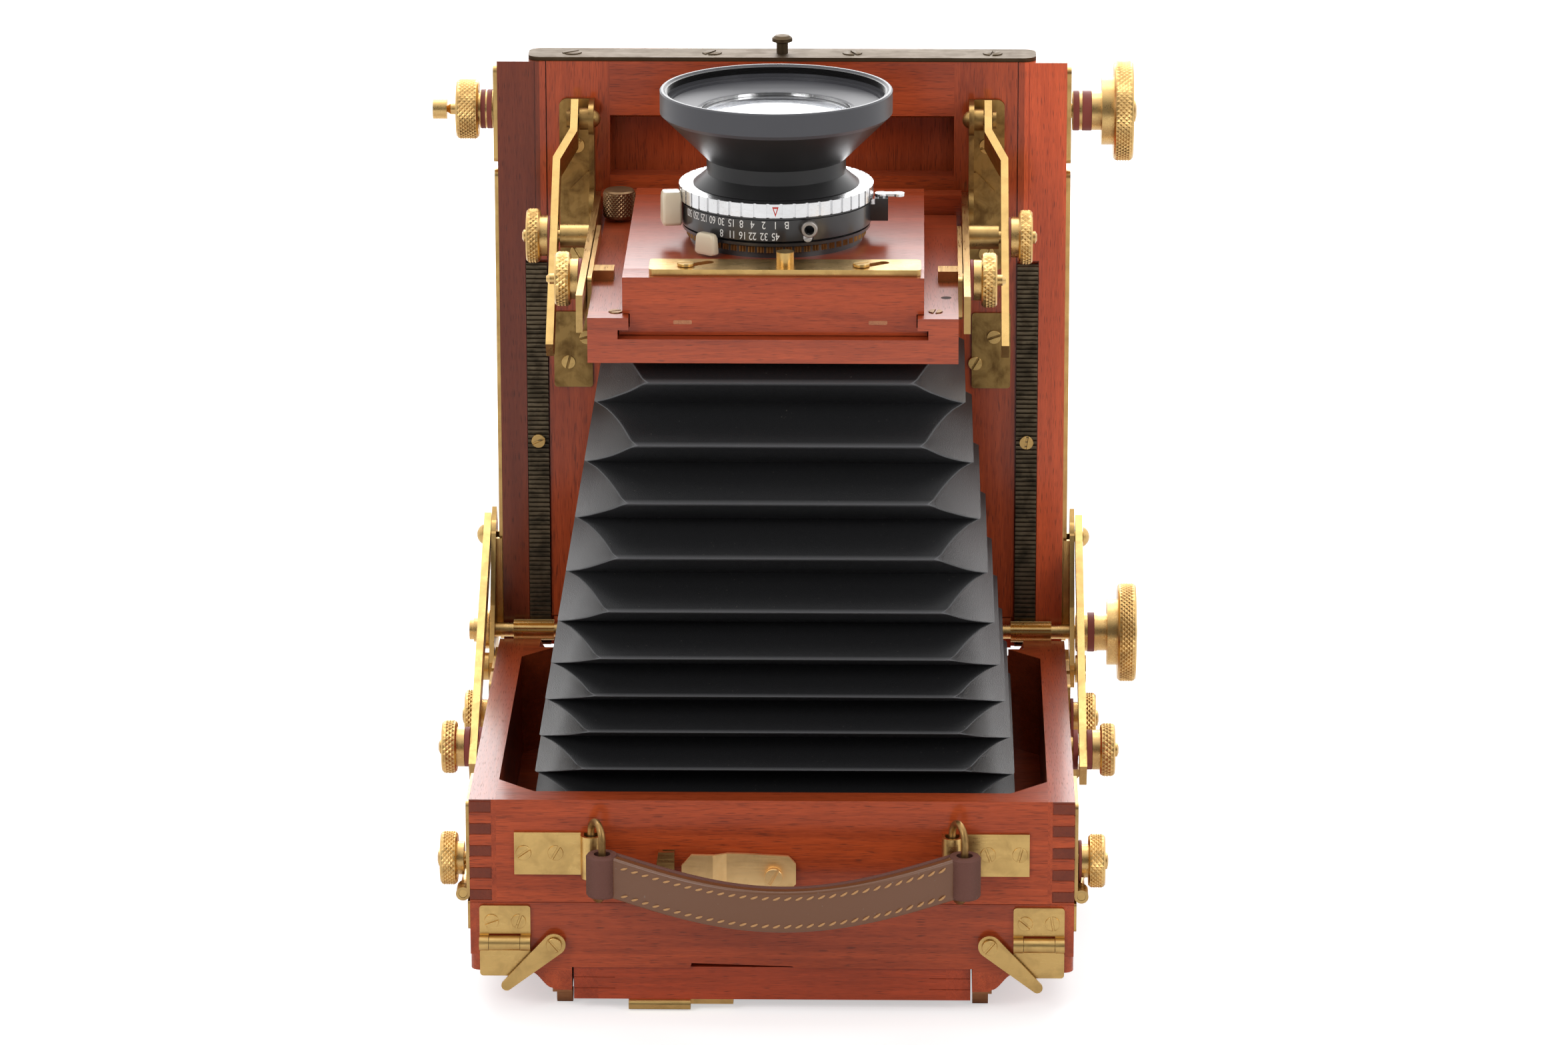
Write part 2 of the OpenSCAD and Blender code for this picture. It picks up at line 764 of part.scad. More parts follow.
module clasp_leaf() {
    difference() {
        union() {
            plate_xz(-case_near - plate_t - 0.1, plate_t)
                round_rect(clasp_x0, panel_z - 1.4, clasp_x1, clasp_z - clasp_d / 2 - 0.2, 1);
            plate_xz(-case_near - plate_t - 0.1, plate_t)
                translate([knuckle[0], clasp_z - clasp_d / 2 - 1])
                square([knuckle[1] - knuckle[0], clasp_d / 2 + 1]);
            rod_x(knuckle[0], knuckle[1], clasp_y, clasp_z, clasp_d - 0.2);
        }
        rod_x(clasp_x0, clasp_x1, clasp_y, clasp_z, clasp_pin_d + 2 * run);
    }
}

module clasp_leaf_right() {
    color("goldenrod") clasp_leaf();
}

module clasp_leaf_left() {
    color("goldenrod") mirror([1, 0, 0]) clasp_leaf();
}

// Turn levers that hold the clasp leaves shut
module turn_lever() {
    tip = [14.3, -13];
    len = norm(tip);
    a = atan2(tip[1], tip[0]);
    tip_r = 1.6;
    head_r = 3.4;
    lean = asin((head_r - tip_r) / len);
    plate_xz(lever_y, 1) translate([lever_x, lever_z]) rotate(a) {
        circle(head_r);
        polygon([
            [head_r * sin(lean), head_r * cos(lean)],
            [len + tip_r * sin(lean), tip_r * cos(lean)],
            [len + tip_r * sin(lean), -tip_r * cos(lean)],
            [head_r * sin(lean), -head_r * cos(lean)]]);
        translate([len, 0]) circle(tip_r);
    }
    translate([lever_x, -case_near + 4, lever_z]) rotate([90, 0, 0])
        cylinder(h = 7.6, d = small_screw_d);
    translate([lever_x, lever_y, lever_z]) rotate([90, 0, 0]) cylinder(h = 0.7, d = 4.4);
}

module turn_lever_right() {
    color("gold") turn_lever();
}

module turn_lever_left() {
    color("gold") mirror([1, 0, 0]) turn_lever();
}

// Brass D rings of the handle, turned a little as the strap has slid to the right
module ring() {
    bow = (ring_reach) / 2;
    straight = ring_half - bow - ring_wire / 2;
    for (s = [-1, 1]) {
        for (y = [0, -ring_reach]) translate([0, y, 0]) mirror([0, 0, s < 0 ? 1 : 0])
            cylinder(h = straight, d = ring_wire);
        translate([0, -bow, s * straight]) rotate([0, s < 0 ? 90 : -90, 0]) rotate([0, 0, -90])
            rotate_extrude(angle = 180) translate([bow, 0]) circle(d = ring_wire);
    }
}

module handle_rings() {
    color("darkgoldenrod") for (s = [-1, 1])
        translate([s * ring_x, ring_y, bracket_z]) rotate([0, 0, ring_turn]) ring();
}

// Leather strap: a bowed, sagging band with a loop round each ring
function strap_point(t) = let (s = sin(180 * t)) [
    strap_x0 + strap_eye_r + (strap_x1 - strap_x0 - 2 * strap_eye_r) * t,
    strap_y - strap_bow * s, strap_z - strap_sag * s];

module handle_strap() {
    steps = 24;
    half = strap_t / 2;
    rings = [for (i = [0:steps]) let (p = strap_point(i / steps)) [
        p + [0, half, strap_w / 2], p + [0, -half, strap_w / 2 - 0.8],
        p + [0, -half, -strap_w / 2 + 0.8], p + [0, half, -strap_w / 2]]];
    color("#3a2622") difference() {
        union() {
            polyhedron([for (r = rings, p = r) p], concat(
                [[0, 1, 2, 3]],
                [for (i = [0:steps - 1], k = [0:3]) let (a = 4 * i + k, b = 4 * i + (k + 1) % 4)
                    each [[a, a + 4, b + 4], [a, b + 4, b]]],
                [[4 * steps + 3, 4 * steps + 2, 4 * steps + 1, 4 * steps]]));
            for (x = [strap_x0, strap_x1]) translate([x, strap_y, strap_z - strap_w / 2])
                cylinder(h = strap_w, r = strap_loop_r);
        }
        for (x = [strap_x0, strap_x1]) translate([x, strap_y, strap_z - strap_w])
            cylinder(h = 2 * strap_w, r = strap_eye_r);
    }
}

// Swinging latch on the near face, raised at its hook end to pass over the keeper
module latch() {
    t = 1.2;
    lift = 2.2;
    z0 = case_z + 5.7;
    z1 = case_z + 16.4;
    profile = [
        [7.2, 0], [-13, 0], [-17, -lift], [-26.7, -lift],
        [-26.7, -lift - t], [-17.4, -lift - t], [-13.4, -t], [7.2, -t]];
    color("goldenrod") {
        intersection() {
            translate([0, latch_y, z0]) linear_extrude(z1 - z0) polygon(profile);
            plate_xz(latch_y - 6, 8) polygon([
                [7.2, z0 + 1], [6.2, z0], [-25, z0 + 0.5], [-26.7, z0 + 1.6], [-26.7, z1 - 3.4],
                [-23.8, z1], [-8, z1 - 0.3], [5, z1 - 1], [7.2, z1 - 3.4]]);
        }
        translate([latch_pivot[0], -case_near + 5, latch_pivot[1]]) rotate([90, 0, 0])
            cylinder(h = 6.5, d = small_screw_d);
        translate([latch_pivot[0], latch_y - t, latch_pivot[1]]) rotate([90, 0, 0])
            cylinder(h = 0.7, d = 5.2);
    }
}

// Brass side plates that pivot on the case and guide the bed
module carriage_outline() {
    difference() {
        union() {
            polygon([
                [pivot_y - 5, pivot_z - 4.5], [pivot_y + 4, pivot_z - 5.5],
                [bed_face + 15.4, pivot_z + 3], [bed_face + 15.4, rivet_z + 2],
                [rivet_y + 1, rivet_z + 9], [rivet_y - 6, rivet_z + 2],
                [rear_shaft_y - 3, rear_shaft_z + 9], [pivot_y - 6, pivot_z + 3]]);
            translate([pivot_y, pivot_z]) circle(6);
            translate([rivet_y, rivet_z]) circle(6);
        }
        translate([pivot_y, pivot_z]) circle(d = pivot_d + 2 * run);
        translate([rear_shaft_y, rear_shaft_z]) circle(d = shaft_d + 2 * run);
    }
}

module carriage_plates() {
    dome = 3.2;
    color("goldenrod") both_sides() {
        plate_yz(carriage_x, carriage_t) carriage_outline();
        for (y = [guide_y - slip - lip_y, guide_y + strip_h + slip])
            block([bed_w / 2 + 0.5, y, pivot_z + 8], [carriage_x, y + lip_y, rivet_z]);
        rod_x(carriage_x, brace_x + strut_t + slip, rivet_y, rivet_z, rivet_d);
        translate([brace_x + strut_t + slip, rivet_y, rivet_z]) rotate([0, 90, 0])
            rotate_extrude() intersection() {
                translate([0, -1.6]) circle(dome + 0.4);
                square(dome + 1);
            }
    }
}

// Rear pinion: shaft with two gears, big knob on the right, dome screw on the left
module rear_pinion() {
    neck_x = carriage_x + carriage_t + 0.4;
    color("gold") {
        rod_x(-neck_x - 6.2, neck_x + 11, rear_shaft_y, rear_shaft_z, shaft_d);
        both_sides() plate_yz(rear_gear_x0, rear_gear_w)
            translate([rear_shaft_y, rear_shaft_z]) gear_outline();
        rod_x(neck_x, neck_x + 6.9, rear_shaft_y, rear_shaft_z, 12.2);
        thumb_screw(neck_x + 10, rear_shaft_y, rear_shaft_z, 3.1, 21, 3.4,
            focus_knob_d, 5.8, 8, 0.5);
        rod_x(neck_x + 6.9, neck_x + 10, rear_shaft_y, rear_shaft_z, 11.8);
        rod_x(-neck_x - 2.4, -neck_x, rear_shaft_y, rear_shaft_z, 12.4);
        rod_x(-neck_x - 5, -neck_x - 2.4, rear_shaft_y, rear_shaft_z, 8);
        rod_x(-neck_x - 6.4, -neck_x - 5, rear_shaft_y, rear_shaft_z, 6.6);
    }
}

// Braces from the carriage rivets down to the slotted knobs on the case
module brace() {
    tail = 11;
    plate_yz(brace_x, strut_t) translate([rivet_y, rivet_z]) rotate(180 + brace_angle)
        difference() {
            translate([-5.6, -brace_h / 2]) square([brace_run + tail + 5.6, brace_h]);
            circle(d = rivet_d + 2 * run);
            translate([brace_run, 0]) slot(2 * brace_slide, slot_w + 0.4);
        }
}

module brace_right() {
    color("darkkhaki") brace();
}

module brace_left() {
    color("darkkhaki") mirror([1, 0, 0]) brace();
}

module brace_knob() {
    x = brace_x + strut_t + 1.8;
    thumb_screw(x, post_y, post_z, x - case_x + wall_screw - 0.4, 12.4, 2.4, 16, 4.6, 4.4, 1.2);
}

module brace_knob_right() {
    color("gold") brace_knob();
}

module brace_knob_left() {
    color("gold") mirror([1, 0, 0]) brace_knob();
}

// Wooden bed: board, two grooved rails and a bottom rail
module bed() {
    bed_back = bed_face + bed_t;
    board_y = bed_back - board_t;
    x = bed_w / 2;
    color("saddlebrown") difference() {
        block([-x, bed_face, bed_z0], [x, bed_back, bed_z1]);
        block([-channel_x, bed_face - 1, slide_z0 - slip], [channel_x, board_y, bed_z1 + 1]);
        both_sides() {
            block([channel_x - 1, tongue_y - slip, slide_z0 - slip],
                  [slide_x + tongue + slip, tongue_y + tongue_t + slip, bed_z1 + 1]);
            block([channel_x - 1, bed_face - 1, bed_z0 - 1],
                  [channel_x + rack_w + 0.3, rear_rack_y + dedendum + rack_back + 0.05,
                   rear_shaft_z + rear_rack_up + 0.2]);
            block([x - 11.9, bed_face - 1, rear_shaft_z + rear_rack_up + 1],
                  [x - 11.9 + hairline, bed_face + hairline, bed_z1 + 1]);
            rod_x(channel_x - 1, x + 1, front_shaft_y, front_shaft_z, shaft_d + 2 * run);
        }
        translate([0, board_y - 1, bush_z]) rotate([-90, 0, 0]) cylinder(h = board_t + 2, d = 16);
    }
}

// Brass strips along the sides of the bed, bearing plates of the shaft, and the tripod bush
module bed_fittings() {
    bush_d = 16;
    color("goldenrod") {
        both_sides() difference() {
            union() {
                plate_yz(bed_w / 2, strip_t)
                    round_rect(guide_y, bed_z0, guide_y + strip_h, front_shaft_z - 18.6, 2);
                plate_yz(bed_w / 2, strip_t)
                    round_rect(front_shaft_y - 8, front_shaft_z - 15.6,
                               front_shaft_y + 8, bed_z1 - 2.5, 2);
            }
            rod_x(bed_w / 2 - 1, bed_w / 2 + 3, front_shaft_y, front_shaft_z, shaft_d + 2 * run);
        }
        translate([0, bed_face + bed_t - board_t, bush_z]) rotate([-90, 0, 0]) difference() {
            cylinder(h = board_t, d = bush_d);
            translate([0, 0, -1]) cylinder(h = board_t + 2, d = bush_bore);
        }
    }
}

module rear_racks() {
    color("dimgray") both_sides() plate_yz(channel_x + 0.1, rack_w)
        translate([rear_rack_y, rear_shaft_z])
        rack_outline(rear_rack_down, rear_rack_up, rack_back);
}

// Sliding frame that runs in the bed rails and carries the front standard
module sliding_frame() {
    color("saddlebrown") difference() {
        union() {
            block([-slide_x, slide_face, slide_z0], [slide_x, slide_back, slide_z1]);
            block([-slide_x - tongue, tongue_y, slide_z0],
                  [slide_x + tongue, tongue_y + tongue_t, slide_z1]);
        }
        block([-window_x, slide_face - 1, window_z0], [window_x, slide_back + 1, window_z1]);
        block([-window_x, slide_face - 1, slide_z0 + 15], [window_x, slide_back + 1, mid_rail_z0]);
        both_sides() block(
            [front_rack_x - 0.1, front_rack_y - dedendum - rack_back,
             front_shaft_z - front_rack_down - 1],
            [front_rack_x + rack_w + 0.1, slide_back + 1, slide_z1 + 1]);
    }
}

// Brass strip over the end of the sliding frame, with the stud for the latch
module end_strip() {
    reach = 79.6;
    strip_y = [bed_face + 1, bed_face + 14.2];
    t = 1.2;
    z = slide_z1 + 0.05;
    color("goldenrod") difference() {
        union() {
            translate([0, 0, z]) linear_extrude(t)
                round_rect(-reach, strip_y[0], reach, strip_y[1], 4);
            translate([0, bed_face + 8, z]) rotate_extrude() polygon([
                [0, 0], [1.8, 0], [1.8, 4.4], [3.2, 5], [3.2, 6], [2.2, 6.8], [0, 7]]);
        }
        for (x = [-66, -22, 22, 66]) translate([x, bed_face + 7.5, z + t - 0.6])
            cylinder(h = 2, d1 = 2.8, d2 = 6.8);
    }
}

module front_racks() {
    color("dimgray") both_sides() plate_yz(front_rack_x, rack_w)
        translate([front_rack_y, front_shaft_z]) mirror([1, 0])
        rack_outline(front_rack_down, front_rack_up, rack_back);
}

// Front pinion: shaft with two gears and the big knob on the right
module front_pinion() {
    knob_x = strip_x + 0.4;
    color("gold") {
        rod_x(-lock_disc_x - 5, knob_x + 10, front_shaft_y, front_shaft_z, shaft_d);
        both_sides() plate_yz(front_rack_x - 1, rack_w + 2)
            translate([front_shaft_y, front_shaft_z]) gear_outline();
        rod_x(knob_x, knob_x + 9.2, front_shaft_y, front_shaft_z, 12.2);
        thumb_screw(knob_x + 9.2, front_shaft_y, front_shaft_z, 3, 21.4, 3.8,
            focus_knob_d, 6.1, 7, 1.2);
    }
}

// Lock knob that turns on the left end of the front shaft
module lock_knob() {
    x = lock_disc_x;
    color("gold") mirror([1, 0, 0]) difference() {
        union() {
            rod_x(x - 4, x, front_shaft_y, front_shaft_z, 12);
            thumb_screw(x, front_shaft_y, front_shaft_z, 0, 10, 0.5, 18.3, 7, 3.6, 3.2);
            rod_x(x + 10.6, x + 15, front_shaft_y, front_shaft_z, 6.4);
        }
        rod_x(x - 5, x + 5.5, front_shaft_y, front_shaft_z, shaft_d + 2 * run);
    }
}

// Brass brackets on the sliding frame: base plate, upright ear, pins and bushes
module bed_bracket() {
    base_t = 1.5;
    y0 = slide_face - base_t;
    top = axis_z + 34.1;
    pin_end = 0.3;
    difference() {
        union() {
            plate_xz(y0, base_t) round_rect(ear_x, 186, 69.8, top, 2.5);
            plate_yz(ear_x, ear_t) {
                translate([arm_pivot_y - 1, axis_z - 8])
                    square([y0 - arm_pivot_y + 1 + base_t, top - axis_z + 8]);
                translate([arm_pivot_y, axis_z]) circle(7);
                translate([strut_y, strut_z]) circle(top - strut_z);
            }
            plate_xz(y0 - 1.4, 1.4) polygon([
                [ear_x + ear_t, axis_z - 10], [66.8, axis_z - 10], [66.8, axis_z + 5],
                [61, axis_z + 11], [ear_x + ear_t, axis_z + 11]]);
            rod_x(arm_x + pin_end, ear_x, arm_pivot_y, axis_z, 4);
            rod_x(ear_x, strut_top_x - slip, strut_y, strut_z, 6.9);
            rod_x(ear_x, strut_top_x + strut_t + slip, strut_y, strut_z, rivet_d);
            rod_x(strut_top_x + strut_t + slip, strut_top_x + strut_t + 1.4, strut_y, strut_z, 5.4);
        }
        for (z = [axis_z + 19.2, axis_z - 15.6]) translate([64.4, y0, z])
            rotate([90, 0, 0]) cylinder(h = 4, d = 3, center = true);
    }
    translate([ear_x, strut_y, strut_z]) rotate([0, -90, 0]) rotate_extrude()
        intersection() {
            translate([0, -0.8]) circle(2.9);
            square(4);
        }
}

module bed_brackets() {
    color("goldenrod") {
        both_sides() {
            bed_bracket();
            plate_xz(slide_face - 0.8, 0.8) round_rect(60, 147.2, 72.2, 171.8, 1);
        }
    }
}

// Brass arms beside the lens frame, with the spacer tubes of the strut knobs
module arm() {
    spacer_d = 7.4;
    difference() {
        union() {
            plate_yz(arm_x, arm_t) {
                translate([-arm_near, arm_z]) square([arm_near + arm_pivot_y, arm_h]);
                translate([arm_pivot_y, axis_z]) circle(arm_h / 2);
            }
            rod_x(arm_x, strut_x - 0.7, upper_y, axis_z, spacer_d);
        }
        rod_x(arm_x - 1, ear_x, arm_pivot_y, axis_z, 4 + 2 * run);
        rod_x(arm_x - 1, ear_x, lower_y, axis_z, screw_d + 2 * run);
        rod_x(arm_x + 1, strut_x + 1, upper_y, axis_z, screw_d + 2 * run);
    }
}

module arms() {
    color("darkkhaki") both_sides() arm();
}

// Wooden crossbar that ties the arms at the bed
module crossbar() {
    color("sienna") block([-arm_x, crossbar_y, arm_z], [arm_x, crossbar_y + crossbar_d, axis_z + 6.2]);
}

// Bent struts from the brackets down past the arms
module strut() {
    o = strut_step;
    len = strut_run + strut_tail;
    end = 4.2;
    a = 8;
    b = 19;
    tip = 3;
    translate([0, strut_y, strut_z]) rotate([strut_angle, 0, 0]) difference() {
        intersection() {
            translate([strut_top_x, 0, -strut_h / 2]) linear_extrude(strut_h) polygon([
                [0, end], [0, -a], [o, -b], [o, -len], [o + strut_t, -len],
                [o + strut_t, -b + 1], [strut_t, -a + 1], [strut_t, end]]);
            plate_yz(strut_top_x - 1, o + strut_t + 2) polygon([
                [5, -strut_h / 2], [5, strut_h / 2], [-len, strut_h / 2],
                [-len, -strut_h / 2 + tip], [-len + tip, -strut_h / 2]]);
        }
        rod_x(strut_top_x - 1, strut_top_x + strut_t + 1, 0, 0, rivet_d + 2 * run);
        plate_yz(strut_x - 1, strut_t + 2) translate([-strut_run, 0])
            slot(2 * strut_slide, slot_w + 0.4);
    }
}

module strut_right() {
    color("darkkhaki") strut();
}

module strut_left() {
    color("darkkhaki") mirror([1, 0, 0]) strut();
}

module upper_knob() {
    x = strut_x + strut_t + 0.8;
    thumb_screw(x, upper_y, axis_z, x - arm_x - 2.5, 12.6, 2.4, 16.3, 4.2, 4, 1.4);
}

module upper_knob_right() {
    color("gold") upper_knob();
}

module upper_knob_left() {
    color("gold") mirror([1, 0, 0]) upper_knob();
}

// Wooden lens frame with an undercut channel for the lens carrier
module lens_frame() {
    clear = 0.3;
    color("saddlebrown") difference() {
        block([-lens_frame_x, -lens_frame_near, lens_frame_z],
              [lens_frame_x, lens_frame_far, frame_top]);
        block([-opening_x, -opening_y, lens_frame_z - 1], [opening_x, opening_y, frame_top + 1]);
        block([-foot_x - clear, -lens_frame_near - 1, slot_floor],
              [foot_x + clear, lens_frame_far + 1, frame_top - lip_t]);
        block([-carrier_x - clear, -lens_frame_near - 1, slot_floor],
              [carrier_x + clear, lens_frame_far + 1, frame_top + 1]);
        both_sides() block([lens_frame_x - wall_screw, lower_y - nut_half, axis_z - nut_half],
                           [lens_frame_x + 1, lower_y + nut_half, frame_top + 1]);
        translate([-rise_x, rise_y, frame_top - 6]) cylinder(h = 7, d = 3 + 2 * run);
    }
}

// Brass plates on the sides of the lens frame, with the nuts of the lower knobs
module frame_plates() {
    top = arm_z + arm_h - 0.6;
    color("goldenrod") both_sides() difference() {
        union() {
            plate_yz(lens_frame_x, frame_plate_t) round_rect(-25, lens_frame_z + 5.7, 42, top, 1.5);
            block([lens_frame_x - wall_screw, lower_y - nut_half, axis_z - nut_half],
                  [lens_frame_x + 0.1, lower_y + nut_half, axis_z + nut_half]);
        }
        rod_x(lens_frame_x - wall_screw - 1, arm_x, lower_y, axis_z, screw_d + 2 * run);
    }
}

module lower_knob() {
    x = arm_x + arm_t + 1.2;
    thumb_screw(x, lower_y, axis_z, x - lens_frame_x + wall_screw - 0.4, 12.4, 2.3, 16, 4.7, 3.3, 2.7);
}

module lower_knob_right() {
    color("gold") lower_knob();
}

module lower_knob_left() {
    color("gold") mirror([1, 0, 0]) lower_knob();
}

// Upright knob that clamps the lens carrier
module rise_knob() {
    h = 9;
    color("gold") translate([-rise_x, rise_y, frame_top + 1]) rotate_extrude() polygon([
        [0, -6.6], [1.5, -6.6], [1.5, 0], [4.3, 0], [4.8, 0.5], [4.8, h - 0.5], [4.3, h], [0, h]]);
}

// Lens carrier: T-shaped foot, plate and two end blocks for the lens board
module lens_carrier() {
    hole_d = 58;
    color("sienna") difference() {
        union() {
            block([-foot_x, -block_near, foot_z], [foot_x, carrier_far, foot_z + foot_t]);
            block([-carrier_x, -block_near, foot_z], [carrier_x, carrier_far, frame_top + 0.2]);
            block([-block_x, -block_near, frame_top + 0.2], [block_x, carrier_far, carrier_top]);
            block([-block_x, -block_near, carrier_top], [block_x, -board_near - 0.1, board_top]);
            block([-block_x, board_far + 0.1, carrier_top], [block_x, carrier_far, board_top]);
            for (x = [-lock_screw_x, lock_screw_x]) translate([x, lock_y - 2, board_top - 1])
                cylinder(h = lock_t + 1.9, d = 2.6);
        }
        translate([0, 0, foot_z - 1]) cylinder(h = carrier_top - foot_z + 2, d = hole_d);
    }
}

module lens_board() {
    color("sienna") difference() {
        block([-block_x, -board_near, carrier_top], [block_x, board_far, board_top]);
        translate([0, 0, carrier_top - 1]) cylinder(h = lens_board_t + 2, d = 41 + 2 * run);
    }
}

// Brass strip with slanted slots that locks the lens board
module board_lock() {
    z = board_top + 0.05;
    color("goldenrod") {
        translate([lock_x, lock_y, z]) linear_extrude(lock_t) difference() {
            round_rect(-lock_half, -lock_d / 2, lock_half, lock_d / 2, 1.5);
            for (x = [-lock_screw_x, lock_screw_x])
                translate([x - lock_x, -2]) rotate(lock_slant)
                translate([lock_travel / 2, 0]) slot(lock_travel, 3.4);
        }
        translate([lock_x, lock_y, z]) cylinder(h = lock_t + 4, d = 5.3);
    }
}

// Shutter: flange, serrated collar, drum with cable sockets, and the seat of the speed ring
module shutter_body() {
    teeth = 60;
    color("#202020") difference() {
        union() {
            translate([0, 0, board_top]) cylinder(h = collar_z - board_top, r = core_r);
            translate([0, 0, collar_z]) linear_extrude(1.9) {
                circle(core_r + 0.6);
                for (i = [0:teeth - 1]) rotate(i * 360 / teeth)
                    translate([core_r + 0.3, -0.5]) square([0.7, 1]);
            }
            translate([0, 0, carrier_top + 0.2]) cylinder(h = drum_z - carrier_top, r = 20.5);
            translate([0, 0, collar_z]) cylinder(h = drum_z - collar_z, r = core_r - 0.07);
            translate([0, 0, drum_z]) cylinder(h = drum_h, r = drum_r);
            translate([0, 0, drum_z]) cylinder(h = speed_top - drum_z, r = seat_r);
            block([drum_r - 3, -2.5, drum_top - 6.3], [drum_r + 5, 4.5, drum_top - 1.2]);
            block([drum_r + 1, -2.5, drum_top - 2], [drum_r + 5, 4.5, drum_top + 0.6]);
            translate([10.4, 0, drum_top - 2.6]) rotate([90, 0, 0]) cylinder(h = 29.6, d = 4.6);
            translate([10.4, 0, drum_top - 5.3]) rotate([90, 0, 0]) cylinder(h = 27.6, d = 2.6);
        }
        translate([0, 0, carrier_top - 1]) cylinder(h = 60, r = bore_r);
        translate([10.4, -24, drum_top - 2.6]) rotate([90, 0, 0]) cylinder(h = 8, d = 3);
        translate([release[0], release[1], drum_top - 2]) cylinder(h = 4, d = 1.6 + 2 * run);
    }
}

// Speed ring with flutes
module speed_ring() {
    outer = 29.3;
    color("silver") translate([0, 0, speed_z]) linear_extrude(speed_h) difference() {
        circle(outer);
        circle(seat_r + run);
        for (i = [0:flutes - 1]) rotate(i * 360 / flutes)
            translate([outer - 0.7, -0.4]) square([2, 0.8]);
    }
}

// Thin ring that carries a lever tab at angle a
module lever_ring(z, r_in, r_out, t, a, reach, tab_w) {
    translate([0, 0, z]) linear_extrude(t) {
        difference() {
            circle(r_out);
            circle(r_in);
        }
        rotate(a) translate([r_out - 1, -tab_w / 2]) square([reach - r_out + 1, tab_w]);
    }
}

module aperture_lever() {
    a = 230;
    color("antiquewhite") {
        lever_ring(index_z + 0.2, core_r + run, ring_r, 1, a, drum_r + 2.3, 5);
        translate([0, 0, index_z - 3]) rotate([0, 0, a])
            block([drum_r + 1.5, -4, 0], [drum_r + 4.3, 4, 6.4]);
    }
}

module cocking_lever() {
    a = 186;
    color("antiquewhite") {
        lever_ring(cock_z, seat_r + run, ring_r, 0.6, a, drum_r + 2.3, 5);
        translate([0, 0, cock_z - 6.6]) rotate([0, 0, a])
            block([drum_r + 1.7, -4.2, 0], [drum_r + 4.7, 4.2, 10]);
    }
}

module release_lever() {
    z = drum_top + 0.65;
    reach = 5.2;
    color("silver") {
        translate([release[0], release[1], z]) linear_extrude(0.9) {
            circle(1.9);
            translate([0, -1.3]) square([reach, 2.6]);
            translate([reach, 0]) circle(1.8);
        }
        translate([release[0], release[1], z - 2]) cylinder(h = 2.4, d = 1.6);
    }
}

// Front cell, a cup that opens to the front, and rear cell
module lens_cells() {
    wall = 1.6;
    rim_r = rim_d / 2;
    seat_z = rim_z - 1;
    rear_z1 = carrier_top + 0.1;
    rear_z0 = foot_z - 1.5;
    color("#181818") {
        rotate_extrude() polygon([
            [bore_r - 0.2, speed_top - 4], [bore_r - 0.2, speed_top - 12], [tube_r, speed_top - 12],
            [tube_r, speed_top], [glass_r - 2, glass_z], [glass_r, glass_z],
            [glass_r, seat_z + 1.4], [glass_r + 1.6, seat_z + 1.4], [rim_r - 3.4, seat_z + 3.4],
            [rim_r - 3.4, seat_z + 4.2], [rim_r - wall, seat_z + 4.2], [rim_r - wall, lens_top - 0.5],
            [rim_r - wall + 0.5, lens_top], [rim_r - 0.4, lens_top], [rim_r, lens_top - 0.4],
            [rim_r, rim_z], [neck_r, cone_z], [neck_r, neck_z], [seat_r - 0.3, speed_top + 0.1],
            [bore_r - 0.2, speed_top + 0.1]]);
        rotate_extrude() polygon([
            [tube_r, rear_z1 + 4], [bore_r - 0.2, rear_z1 + 4], [bore_r - 0.2, rear_z1],
            [rear_cell_d / 2, rear_z1], [rear_cell_d / 2, foot_z + 1],
            [rear_cell_d / 2 - 3, rear_z0], [tube_r, rear_z0]]);
    }
}

// Front and rear glass
module lens_glass() {
    bulge_r = 60;
    color("lightcyan") {
        translate([0, 0, glass_z]) rotate_extrude() intersection() {
            square([glass_r - run, 8]);
            translate([0, 6 - bulge_r]) circle(bulge_r);
        }
        translate([0, 0, foot_z]) cylinder(h = 4, r = tube_r - run);
    }
}

// Pleated, tapered bellows tube with chamfered corners, one ring per ridge and valley
function bellows_ring(z, inset) = let (
    t = (z - bellows_z0) / (bellows_z1 - bellows_z0),
    x = bellows_rear_x + (bellows_front_x - bellows_rear_x) * t - inset,
    y0 = -(bellows_near[0] + (bellows_near[1] - bellows_near[0]) * t) + inset,
    y1 = bellows_far[0] + (bellows_far[1] - bellows_far[0]) * t - inset,
    c = 7)
    [[x, y0 + c, z], [x, y1 - c, z], [x - c, y1, z], [-x + c, y1, z],
     [-x, y1 - c, z], [-x, y0 + c, z], [-x + c, y0, z], [x - c, y0, z]];

module bellows() {
    n = 2 * folds;
    step = (bellows_z1 - bellows_z0) / n;
    levels = [for (i = [0:n]) [bellows_z0 + i * step, i % 2 == 0 ? fold_depth : 0]];
    outer = [for (l = levels) bellows_ring(l[0], l[1])];
    inner = [for (l = levels) bellows_ring(l[0], l[1] + cloth_t)];
    side = 8 * (n + 1);
    color("#26262a") polyhedron(
        [for (r = concat(outer, inner), p = r) p],
        concat(
            [for (i = [0:n - 1], k = [0:7]) let (a = 8 * i + k, b = 8 * i + (k + 1) % 8)
                each [[a, a + 8, b + 8], [a, b + 8, b]]],
            [for (i = [0:n - 1], k = [0:7])
                let (a = side + 8 * i + k, b = side + 8 * i + (k + 1) % 8)
                each [[a, b + 8, a + 8], [a, b, b + 8]]],
            [for (k = [0:7]) let (b = (k + 1) % 8) each [[k, b, side + b], [k, side + b, side + k]]],
            [for (k = [0:7]) let (a = 8 * n + k, b = 8 * n + (k + 1) % 8)
                each [[a, side + b, b], [a, side + a, side + b]]]));
}

